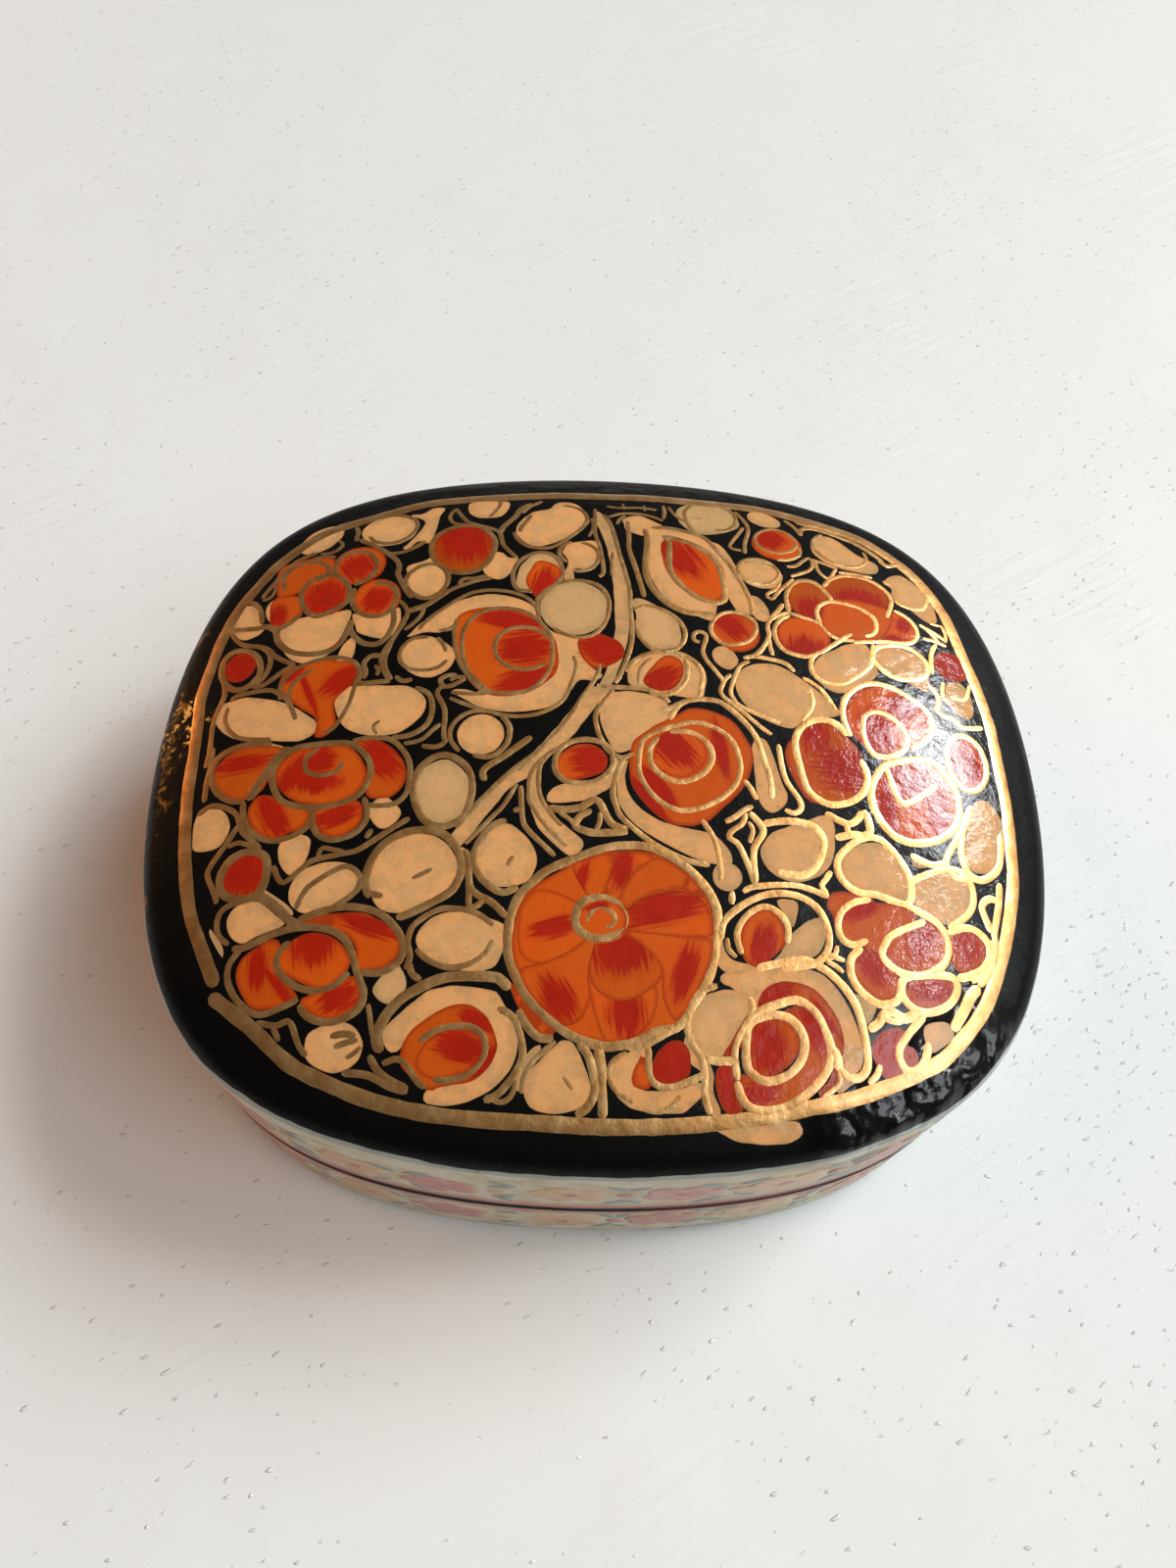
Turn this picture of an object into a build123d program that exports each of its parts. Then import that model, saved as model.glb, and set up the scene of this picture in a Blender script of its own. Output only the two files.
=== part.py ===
"""Small round-cornered papier mache box with a domed lift-off lid.

The box is moulded in one piece and cut in two, so the lid and the base share
one plan outline. A card collar, glued round the inside of the base, stands up
past the cut and guides the lid.

Frame: millimetres, +Z up, +X along the longer side, -Y to the front. The
origin is on the table, under the middle of the box.
"""

import os
from math import cos, pi, sin, sqrt

from build123d import *

# Outline that the lid and the base share, seen from above
box_width = 90.0
box_depth = 79.4
squareness = 0.75  # 0 is an ellipse, 1 is a rectangle

# Heights above the table
seam_height = 14.6
box_height = 38.2

# Lid
dome_drop = 6.5  # from the crown down to the edge of the dome, before rounding
shoulder_radius = 3.0
crown_thickness = 2.8
inner_shoulder_radius = 2.0

# Base
base_wall = 2.6
floor_thickness = 2.8
foot_radius = 2.2

# Collar
collar_thickness = 1.4
collar_rise = 4.6  # above the seam
collar_lead_in = 0.5
collar_butt_gap = 0.3  # between the two ends of the strip, at the back

# Fits and small edges
lid_clearance = 0.25  # between the collar and the lid, all round
seam_edge_radius = 0.45

# How finely the outline and the dome are drawn
outline_steps = 36
dome_steps = 24
dome_overhang = 3.0  # how far the dome's sheet runs past the outline
sheet_tolerance = 0.001

blank_height = 2 * (box_height - seam_height)  # the lid's block, tall enough to pass its dome
collar_height = seam_height + collar_rise - floor_thickness


def outline(inset):
    """Return points round the plan outline, drawn in by inset."""
    half_width = box_width / 2 - inset
    half_depth = box_depth / 2 - inset
    points = []
    for step in range(outline_steps):
        angle = 2 * pi * step / outline_steps
        across, along = cos(angle), sin(angle)
        bulge = 2 * (squareness * across * along) ** 2
        reach = sqrt(2 / (1 + sqrt(1 - 2 * bulge)))
        points.append((half_width * reach * across, half_depth * reach * along))
    return points


def dome_height(x, y):
    """Return the height of the lid's outer dome above a point of the plan."""
    across = (2 * x / box_width) ** 2
    along = (2 * y / box_depth) ** 2
    level = across + along - squareness**2 * across * along
    return box_height - dome_drop * (5 * level + 3 * level**3) / 8


def dome_sheet(lowered):
    """Return the dome as a sheet that runs past the outline, lowered by a thickness."""
    reach_x = box_width / 2 + dome_overhang
    reach_y = box_depth / 2 + dome_overhang
    rows = []
    for i in range(dome_steps + 1):
        x = reach_x * (2 * i / dome_steps - 1)
        row = []
        for j in range(dome_steps + 1):
            y = reach_y * (2 * j / dome_steps - 1)
            row.append(Vector(x, y, dome_height(x, y) - lowered))
        rows.append(row)
    return Face.make_surface_from_array_of_points(rows, tol=sheet_tolerance, min_deg=3)


# Base: a flat tray with a rounded foot
with BuildPart() as base_shell:
    with BuildSketch():
        with BuildLine():
            Spline(*outline(0.0), periodic=True)
        make_face()
    extrude(amount=seam_height)
    with BuildSketch(Plane.XY.offset(floor_thickness)):
        with BuildLine():
            Spline(*outline(base_wall), periodic=True)
        make_face()
    extrude(amount=seam_height - floor_thickness, mode=Mode.SUBTRACT)
    fillet(base_shell.edges().group_by(Axis.Z)[0], radius=foot_radius)
    rim_edges = base_shell.edges().group_by(Axis.Z)[-1]
    fillet(rim_edges.sort_by(SortBy.LENGTH)[-1], radius=seam_edge_radius)

# Collar: a strip of card bent round the inside of the base, its ends butted at the back
with BuildPart() as collar:
    with BuildSketch(Plane.XY.offset(floor_thickness)):
        with BuildLine():
            Spline(*outline(base_wall), periodic=True)
        make_face()
        with BuildLine():
            Spline(*outline(base_wall + collar_thickness), periodic=True)
        make_face(mode=Mode.SUBTRACT)
    extrude(amount=collar_height)
    lip_edges = collar.edges().group_by(Axis.Z)[-1]
    chamfer(lip_edges.sort_by(SortBy.LENGTH)[-1], length=collar_lead_in)
    with BuildSketch(Plane.XY.offset(floor_thickness)):
        with Locations((0, box_depth / 2 - base_wall - collar_thickness / 2)):
            Rectangle(collar_butt_gap, 3 * collar_thickness)
    extrude(amount=collar_height, mode=Mode.SUBTRACT)

# Hollow of the lid
with BuildPart() as lid_hollow:
    with BuildSketch(Plane.XY.offset(seam_height)):
        with BuildLine():
            Spline(*outline(base_wall - lid_clearance), periodic=True)
        make_face()
    extrude(amount=blank_height)
    extrude(dome_sheet(crown_thickness), amount=blank_height, dir=(0, 0, -1), mode=Mode.INTERSECT)
    fillet(lid_hollow.edges().group_by(Axis.Z)[-1], radius=inner_shoulder_radius)

# Lid: a domed shell that rests on the cut edge of the base
with BuildPart() as lid_shell:
    with BuildSketch(Plane.XY.offset(seam_height)):
        with BuildLine():
            Spline(*outline(0.0), periodic=True)
        make_face()
    extrude(amount=blank_height)
    extrude(dome_sheet(0.0), amount=blank_height, dir=(0, 0, -1), mode=Mode.INTERSECT)
    fillet(lid_shell.edges().group_by(Axis.Z)[-1], radius=shoulder_radius)
    fillet(lid_shell.edges().group_by(Axis.Z)[0], radius=seam_edge_radius)
    add(lid_hollow.part, mode=Mode.SUBTRACT)

os.makedirs("parts", exist_ok=True)

base_shell.part.label = "base_shell"
collar.part.label = "collar"
lid_shell.part.label = "lid_shell"

export_step(base_shell.part, "parts/base_shell.step")
export_step(collar.part, "parts/collar.step")
export_step(lid_shell.part, "parts/lid_shell.step")
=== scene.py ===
"""A kashmiri papier mache box: a rounded-square bowl, its collar and a domed, painted lid."""

import logging
import math
import random
from dataclasses import dataclass, field
from enum import Enum

import bpy
from mathutils import Matrix, Vector, noise
from mathutils.geometry import delaunay_2d_cdt


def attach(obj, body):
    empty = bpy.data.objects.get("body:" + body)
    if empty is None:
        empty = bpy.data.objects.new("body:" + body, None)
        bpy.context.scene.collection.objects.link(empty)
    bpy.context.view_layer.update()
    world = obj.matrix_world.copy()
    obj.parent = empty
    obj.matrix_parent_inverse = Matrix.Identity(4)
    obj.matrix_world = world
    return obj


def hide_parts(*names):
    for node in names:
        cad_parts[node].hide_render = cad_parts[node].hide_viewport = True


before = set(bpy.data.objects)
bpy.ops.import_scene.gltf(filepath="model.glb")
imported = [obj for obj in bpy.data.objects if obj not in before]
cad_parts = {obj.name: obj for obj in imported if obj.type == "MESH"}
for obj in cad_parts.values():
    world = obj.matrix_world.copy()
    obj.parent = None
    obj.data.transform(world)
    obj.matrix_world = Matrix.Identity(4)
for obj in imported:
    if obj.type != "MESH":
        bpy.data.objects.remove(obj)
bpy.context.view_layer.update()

logging.basicConfig(level=logging.INFO, format="%(message)s")
log = logging.getLogger("painted_box")

MM = 0.001
TURN = 2.0 * math.pi
Point = tuple[float, float]
Place = tuple[float, float, float]
Flush = tuple[float, float, float, float, float]
Socket = bpy.types.NodeSocket
Material = bpy.types.Material


class Body(Enum):
    """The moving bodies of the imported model."""

    BASE = "base"
    LID = "lid"


class Dab(Enum):
    """A garland's paints, in the order of its materials."""

    PEACH = 0
    PINK = 1
    LEAF = 2
    HEART = 3


class Slot(Enum):
    """Material slot names."""

    LACQUER = "black_lacquer"
    SIDE = "side_paint"
    CREAM = "cream_paint"
    ORANGE = "orange_paint"
    GOLD = "gold_paint"


# ---------------------------------------------------------------- small helpers


def shapes(text: str) -> list[tuple[float, tuple[Point, ...], tuple[Flush, ...]]]:
    """Reads the painting's shapes.

    Args:
        text: Shapes parted by semicolons. Each is a tone or a width, then points "x,y", or an oval
            "ox,y,rx,ry,turn", then flushes "fx,y,rx,ry,turn": in tenths of a mm, and degrees.

    Returns:
        The tone or width, the points and the flushes of each, in mm.
    """
    found = []
    for entry in text.split(";"):
        first, *words = entry.split()
        points, flushes = [], []
        for word in words:
            values = [float(value) for value in word.lstrip("of").split(",")]
            spot = [value / 10 for value in values[:4]]
            if word[0] == "o":
                points = oval(*spot, values[4])
            elif word[0] == "f":
                flushes.append((*spot, values[4]))
            else:
                points.append((spot[0], spot[1]))
        found.append((float(first), tuple(points), tuple(flushes)))
    return found


def oval(x: float, y: float, rx: float, ry: float, turn: float) -> tuple[Point, ...]:
    """An ellipse as twelve points.

    Args:
        x: Centre, mm.
        y: Centre, mm.
        rx: Half length, mm.
        ry: Half width, mm.
        turn: Anticlockwise turn, degrees.

    Returns:
        The points, anticlockwise.
    """
    c, s = math.cos(math.radians(turn)), math.sin(math.radians(turn))
    found = []
    for k in range(12):
        p, q = rx * math.cos(TURN * k / 12), ry * math.sin(TURN * k / 12)
        found.append((x + p * c - q * s, y + p * s + q * c))
    return tuple(found)


def smooth(points: tuple[Point, ...], closed: bool, step: float) -> list[Point]:
    """Runs a Catmull-Rom curve through points and walks it in near-equal steps.

    Args:
        points: Points of the outline or line, mm.
        closed: True for a loop.
        step: Wanted distance between results, mm.

    Returns:
        Points along the curve, mm.
    """
    n = len(points)
    pick = (lambda i: points[i % n]) if closed else (lambda i: points[min(max(i, 0), n - 1)])
    fine: list[Point] = []
    for i in range(n if closed else n - 1):
        a, b, c, d = pick(i - 1), pick(i), pick(i + 1), pick(i + 2)
        for k in range(8):
            t = k / 8
            fine.append(tuple(
                0.5 * (2 * b[j] + (c[j] - a[j]) * t + (2 * a[j] - 5 * b[j] + 4 * c[j] - d[j]) * t * t
                       + (3 * b[j] - a[j] - 3 * c[j] + d[j]) * t ** 3)
                for j in (0, 1)))
    fine.append(points[0] if closed else points[-1])
    reach = [0.0]
    for p, q in zip(fine, fine[1:]):
        reach.append(reach[-1] + math.dist(p, q))
    count = max(3 if closed else 2, round(reach[-1] / step))
    found, at = [], 0
    for k in range(count if closed else count + 1):
        want = reach[-1] * k / count
        while at < len(fine) - 2 and reach[at + 1] < want:
            at += 1
        span = max(reach[at + 1] - reach[at], 1e-9)
        t = min(max((want - reach[at]) / span, 0.0), 1.0)
        found.append((fine[at][0] + (fine[at + 1][0] - fine[at][0]) * t,
                      fine[at][1] + (fine[at + 1][1] - fine[at][1]) * t))
    return found


def area(loop: list[Point]) -> float:
    """Signed area of a loop, mm2."""
    return 0.5 * sum(p[0] * q[1] - q[0] * p[1] for p, q in zip(loop, loop[1:] + loop[:1]))


def inside(p: Point, loop: list[Point]) -> bool:
    """True where p is in the loop."""
    found = False
    for a, b in zip(loop, loop[1:] + loop[:1]):
        if (a[1] > p[1]) != (b[1] > p[1]):
            if p[0] < a[0] + (p[1] - a[1]) * (b[0] - a[0]) / (b[1] - a[1]):
                found = not found
    return found


def edge_distance(p: Point, loop: list[Point]) -> float:
    """Distance from p to the nearest corner of the loop, mm."""
    return min(math.dist(p, a) for a in loop)


def inset_loop(loop: list[Point], by: float) -> list[Point]:
    """An anticlockwise loop moved inwards.

    Args:
        loop: The points, mm.
        by: Distance, mm.

    Returns:
        As many points, mm.
    """
    n, found = len(loop), []
    for i in range(n):
        a, b = loop[i - 1], loop[(i + 1) % n]
        dx, dy = b[0] - a[0], b[1] - a[1]
        size = max(math.hypot(dx, dy), 1e-9)
        found.append((loop[i][0] - by * dy / size, loop[i][1] + by * dx / size))
    return found


def wobble(x: float, y: float, z: float) -> float:
    """Smooth noise from -1 to 1."""
    return noise.noise(Vector((x, y, z)))


@dataclass
class Shell:
    """Vertices, faces and per-vertex values of a mesh under way, in mm."""

    points: list[Place] = field(default_factory=list)
    faces: list[tuple[int, ...]] = field(default_factory=list)
    kinds: list[int] = field(default_factory=list)
    normals: list[Vector] = field(default_factory=list)
    values: dict[str, list] = field(default_factory=dict)

    def add(self, point: Place, normal: Vector | None = None, **values) -> int:
        """Adds a vertex.

        Args:
            point: Place, mm.
            normal: The way it is shaded, for all of a shell's vertices or none.
            **values: Named numbers or vectors kept on the vertex.

        Returns:
            Its index.
        """
        for name, value in values.items():
            self.values.setdefault(name, []).append(value)
        self.points.append(point)
        if normal is not None:
            self.normals.append(normal)
        return len(self.points) - 1

    def face(self, *corners: int, kind: int = 0) -> None:
        """Adds a face of one material number."""
        self.faces.append(corners)
        self.kinds.append(kind)

    def build(self, name: str, *materials: Material) -> bpy.types.Object:
        """Makes the object.

        Args:
            name: Its name.
            *materials: Its materials, in the order of the faces' numbers.

        Returns:
            The object, in metres, at the origin.
        """
        mesh = bpy.data.meshes.new(name)
        mesh.from_pydata([tuple(c * MM for c in p) for p in self.points], [], self.faces)
        for material in materials:
            mesh.materials.append(material)
        mesh.polygons.foreach_set("material_index", self.kinds)
        mesh.polygons.foreach_set("use_smooth", [True] * len(self.faces))
        for label, data in self.values.items():
            vector = hasattr(data[0], "__len__")
            layer = mesh.attributes.new(label, "FLOAT_VECTOR" if vector else "FLOAT", "POINT")
            if vector:
                layer.data.foreach_set("vector", [c for v in data for c in v])
            else:
                layer.data.foreach_set("value", data)
        mesh.validate()
        mesh.update()
        if self.normals:
            mesh.normals_split_custom_set_from_vertices(self.normals)
        made = bpy.data.objects.new(name, mesh)
        bpy.context.scene.collection.objects.link(made)
        log.info("%s: %d faces", name, len(mesh.polygons))
        return made


# ---------------------------------------------------------------- form


@dataclass(frozen=True)
class Squircle:
    """The box's outline from above: between an ellipse and a rectangle."""

    half_width: float = 45.0
    half_depth: float = 39.7
    squareness: float = 0.75

    def value(self, x: float, y: float) -> float:
        """0 at the middle and 1 on the outline."""
        u, v = x / self.half_width, y / self.half_depth
        return u * u + v * v - (self.squareness * u * v) ** 2

    def rim(self, angle: float) -> Point:
        """The outline's point for an angle."""
        c, s = math.cos(angle), math.sin(angle)
        k = math.sqrt(max(0.0, 1 - 4 * (self.squareness * c * s) ** 2))
        reach = math.sqrt(2 / (1 + k))
        return self.half_width * reach * c, self.half_depth * reach * s

    def outward(self, angle: float) -> Point:
        """The outline's unit normal for an angle."""
        x, y = self.rim(angle)
        u, v = x / self.half_width, y / self.half_depth
        gx = u * (1 - (self.squareness * v) ** 2) / self.half_width
        gy = v * (1 - (self.squareness * u) ** 2) / self.half_depth
        size = math.hypot(gx, gy)
        return gx / size, gy / size

    def inner(self, angle: float, inset: float) -> Point:
        """The point inside the outline by inset mm, along the normal."""
        (x, y), (nx, ny) = self.rim(angle), self.outward(angle)
        return x - nx * inset, y - ny * inset

    def bent(self, angle: float, radius: float, phi: float, inset: float = 0.0) -> Point:
        """The point of a round between a wall and a flat, phi along it from the wall."""
        return self.inner(angle, inset + radius * (1 - math.cos(phi)))


@dataclass(frozen=True)
class Dome:
    """The lid's top: flat in the middle and steeper at the edge."""

    outline: Squircle = Squircle()
    top: float = 38.05
    drop: float = 6.35

    def height(self, x: float, y: float) -> float:
        """Height of the top over x, y, mm."""
        f = self.outline.value(x, y)
        return self.top - self.drop * (5 * f + 3 * f ** 3) / 8

    def normal(self, x: float, y: float) -> Vector:
        """The top's upward normal over x, y."""
        shape = self.outline
        u, v, s = x / shape.half_width, y / shape.half_depth, shape.squareness ** 2
        steep = 0.25 * self.drop * (5 + 9 * shape.value(x, y) ** 2)
        across = u * (1 - s * v * v) / shape.half_width
        slope = Vector((across, v * (1 - s * u * u) / shape.half_depth, 0.0))
        return (slope * steep + Vector((0, 0, 1))).normalized()

    def on(self, p: Point, above: float) -> Place:
        """The point above p on the top, mm."""
        return p[0], p[1], self.height(*p) + above

    def shoulder(self, angle: float, inset: float, radius: float, lowered: float) -> Point:
        """Fits a round between wall and top.

        Args:
            angle: Direction from the middle.
            inset: Inset of the wall, mm.
            radius: Radius of the round, mm.
            lowered: Depth of the surface under the top, mm.

        Returns:
            Height of the round's centre, mm, and the angle at which it meets the top.
        """
        best = (1e9, 0.0)
        for k in range(40, 91):
            phi = math.radians(k)
            x, y = self.outline.bent(angle, radius, phi, inset)
            best = min(best, (self.height(x, y) - lowered - radius * math.sin(phi), phi))
        return best


@dataclass(frozen=True)
class Steps:
    """How finely the turned bodies are cut."""

    around: int = 320
    dome: int = 44
    wall: int = 16
    bend: int = 7
    inside: int = 5
    ceiling: int = 16
    floor: int = 20
    sole: int = 14


def loft(columns: list[list[Place]], kinds: list[int], first: float,
         last: float) -> Shell:
    """Joins columns of points into a closed body.

    Args:
        columns: One list of points for each direction, all as long.
        kinds: Material number of each band of faces, one more than the points.
        first: Height of the middle point before the first ring, mm.
        last: Height of the middle point after the last ring, mm.

    Returns:
        The body.
    """
    shell, n, rows = Shell(), len(columns), len(columns[0])
    for column in columns:
        for point in column:
            shell.add(point)
    start, end = shell.add((0.0, 0.0, first)), shell.add((0.0, 0.0, last))
    for i in range(n):
        a, b = i * rows, (i + 1) % n * rows
        shell.face(start, a, b, kind=kinds[0])
        for k in range(rows - 1):
            shell.face(a + k, a + k + 1, b + k + 1, b + k, kind=kinds[k + 1])
        shell.face(a + rows - 1, end, b + rows - 1, kind=kinds[-1])
    return shell


# ---------------------------------------------------------------- pieces


DIP_LEAST = 0.045  # mm that a hand-pressed wall always stands in
DIP_SWING = 0.08  # mm that it swings about its mean dip at mid height
BASE_PATTERN = 9  # keeps the base's dips unlike the lid's


def pressed(angle: float, fade: float, lumps: float, along: float) -> float:
    """How far a hand-pressed wall dips in.

    Args:
        angle: Direction from the middle.
        fade: 0 at the wall's ends and 1 at its mid height.
        lumps: How many dips there are round the wall.
        along: Place up the pattern of dips.

    Returns:
        The dip, mm.
    """
    rough = wobble(lumps * math.cos(angle), lumps * math.sin(angle), along)
    return DIP_LEAST + fade * DIP_SWING * (1 + rough)


@dataclass
class Lid:
    """The lid: black over the top and inside, pale round the side."""

    dome: Dome
    steps: Steps = Steps()
    seam: float = 14.6
    wall: float = 2.35
    crown: float = 2.8
    round_out: float = 3.0
    round_in: float = 2.0
    lip: float = 0.45
    chamfer: float = 0.2

    def column(self, angle: float) -> list[Place]:
        """The lid's section in one direction, from the crown over the edge to the ceiling."""
        shape, s = self.dome.outline, self.steps
        found = []
        centre, meet = self.dome.shoulder(angle, 0.0, self.round_out, 0.0)
        qx, qy = shape.bent(angle, self.round_out, meet)
        for k in range(1, s.dome + 1):
            found.append(self.dome.on((qx * k / s.dome, qy * k / s.dome), 0.0))
        for k in range(1, s.bend + 1):
            phi = meet * (1 - k / s.bend)
            x, y = shape.bent(angle, self.round_out, phi)
            found.append((x, y, centre + self.round_out * math.sin(phi)))
        low = self.seam + self.lip
        for k in range(1, s.wall + 1):
            z = centre + (low - centre) * k / s.wall
            fade = math.sin(math.pi * min(max((centre - z) / (centre - low), 0.0), 1.0))
            found.append((*shape.inner(angle, pressed(angle, fade, 3.2, z * 0.12)), z))
        for phi in (35, 65, 90):
            turn = math.radians(phi)
            x, y = shape.bent(angle, self.lip, turn)
            found.append((x, y, low - self.lip * math.sin(turn)))
        ceiling, meet = self.dome.shoulder(angle, self.wall, self.round_in, self.crown)
        for inset, z in ((self.wall - self.chamfer, self.seam), (self.wall, self.seam + self.chamfer)):
            found.append((*shape.inner(angle, inset), z))
        for k in range(1, s.inside + 1):
            height = self.seam + self.chamfer + (ceiling - self.seam - self.chamfer) * k / s.inside
            found.append((*shape.inner(angle, self.wall), height))
        for k in range(1, s.inside + 1):
            phi = meet * k / s.inside
            x, y = shape.bent(angle, self.round_in, phi, self.wall)
            found.append((x, y, ceiling + self.round_in * math.sin(phi)))
        qx, qy = found[-1][:2]
        for k in range(1, s.ceiling):
            share = 1 - k / s.ceiling
            found.append(self.dome.on((qx * share, qy * share), -self.crown))
        return found

    def make(self, kit: "Paintbox") -> bpy.types.Object:
        """Builds the lid's body."""
        s = self.steps
        columns = [self.column(TURN * i / s.around) for i in range(s.around)]
        skin = s.dome + s.bend + s.wall + 1
        kinds = [0] * skin + [1] * (len(columns[0]) + 1 - skin)
        shell = loft(columns, kinds, self.dome.top, self.dome.top - self.crown)
        made = shell.build("lid_body", kit.skin(BAND_OF_LID), kit.lacquer)
        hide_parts("lid_shell")
        return place(made, Body.LID)


@dataclass
class Bowl:
    """The base: a flat-floored bowl with painted sides."""

    outline: Squircle
    steps: Steps = Steps()
    height: float = 14.6
    wall: float = 2.6
    floor: float = 2.8
    foot: float = 2.2
    lip: float = 0.45
    chamfer: float = 0.25

    def column(self, angle: float) -> list[Place]:
        """The bowl's section in one direction, from the floor's middle to the foot's middle."""
        shape, s, found = self.outline, self.steps, []
        qx, qy = shape.inner(angle, self.wall)
        for k in range(1, s.floor + 1):
            found.append((qx * k / s.floor, qy * k / s.floor, self.floor))
        for k in range(1, s.inside + 1):
            found.append((qx, qy, self.floor + (self.height - self.chamfer - self.floor) * k / s.inside))
        found.append((*shape.inner(angle, self.wall - self.chamfer), self.height))
        for phi in (90, 60, 30, 0):
            turn = math.radians(phi)
            x, y = shape.bent(angle, self.lip, turn)
            found.append((x, y, self.height - self.lip + self.lip * math.sin(turn)))
        high = self.height - self.lip
        for k in range(1, s.wall + 1):
            z = high + (self.foot - high) * k / s.wall
            fade = math.sin(math.pi * k / s.wall)
            dip = pressed(angle, fade, 3, BASE_PATTERN + z * 0.12)
            found.append((*shape.inner(angle, dip), z))
        for k in range(1, s.bend + 1):
            phi = math.radians(90 * k / s.bend)
            x, y = shape.bent(angle, self.foot, phi)
            found.append((x, y, self.foot * (1 - math.sin(phi))))
        qx, qy = found[-1][:2]
        for k in range(1, s.sole):
            found.append((qx * (1 - k / s.sole), qy * (1 - k / s.sole), 0.0))
        return found

    def make(self, kit: "Paintbox") -> bpy.types.Object:
        """Builds the bowl."""
        s = self.steps
        columns = [self.column(TURN * i / s.around) for i in range(s.around)]
        kinds = [1] * (s.floor + s.inside + 3) + [0] * (s.wall + s.bend + 3)
        kinds += [2] * (len(columns[0]) + 1 - len(kinds))
        shell = loft(columns, kinds, self.floor, 0.0)
        made = shell.build("base_body", kit.skin(BAND_OF_BASE), kit.lacquer, kit.underside)
        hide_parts("base_shell")
        return place(made, Body.BASE)


@dataclass
class Collar:
    """The strip of board inside the bowl that the lid slides over; its ends meet at the back."""

    outline: Squircle
    low: float = 2.8
    high: float = 19.2
    outer: float = 2.6
    inner: float = 4.0
    lead: float = 0.5
    gap: float = 0.3
    around: int = 320

    def section(self) -> list[Point]:
        """Inset and height round the strip."""
        o, i, h = self.outer, self.inner, self.high
        return [(o, self.low), (o, 7.0), (o, 11.0), (o, 15.0), (o, h - self.lead), (o + 0.15, h - 0.17),
                (o + self.lead, h), (i - 0.4, h), (i - 0.12, h - 0.12), (i, h - 0.4), (i, 14.0), (i, 9.0),
                (i, self.low)]

    def make(self, kit: "Paintbox") -> bpy.types.Object:
        """Builds the collar."""
        section, shell, n = self.section(), Shell(), self.around
        half = 0.5 * self.gap / self.outline.half_depth
        for k in range(n + 1):
            angle = TURN / 4 + half + (TURN - 2 * half) * k / n
            for inset, z in section:
                shell.add((*self.outline.inner(angle, inset), z))
        rows = len(section)
        for k in range(n):
            for j in range(rows):
                a, b = k * rows + j, k * rows + (j + 1) % rows
                shell.face(a, a + rows, b + rows, b)
        shell.face(*range(rows))
        shell.face(*(n * rows + j for j in reversed(range(rows))))
        made = shell.build("collar_strip", kit.inside)
        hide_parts("collar")
        return place(made, Body.BASE)


NO_FLUSH = (9.0, 9.0, 0.0)  # too far along and across to show


@dataclass(frozen=True)
class Petal:
    """A flat patch of paint: its tone, its outline and, in orange paint, its red flushes."""

    tone: float
    outline: tuple[Point, ...]
    flushes: tuple[Flush, ...] = ()

    def flush_at(self, p: Point, which: int) -> Place:
        """Where p lies in a flush.

        Args:
            p: Point, mm.
            which: Number of the flush.

        Returns:
            Place along and across the streaks, in half lengths, and the streaks' spacing.
        """
        if which >= len(self.flushes):
            return NO_FLUSH
        x, y, rx, ry, turn = self.flushes[which]
        c, s = math.cos(math.radians(turn)), math.sin(math.radians(turn))
        dx, dy = p[0] - x, p[1] - y
        return (dx * c + dy * s) / rx, (dy * c - dx * s) / ry, dy * c - dx * s


@dataclass(frozen=True)
class Stroke:
    """A line drawn with thick gold: its width and the points it runs through."""

    width: float
    points: tuple[Point, ...]

    @property
    def closed(self) -> bool:
        """True where the line meets itself."""
        return len(self.points) > 3 and math.dist(self.points[0], self.points[-1]) < 0.75


GOLDEN = 0.618  # spreads the patches' own numbers evenly


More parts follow.
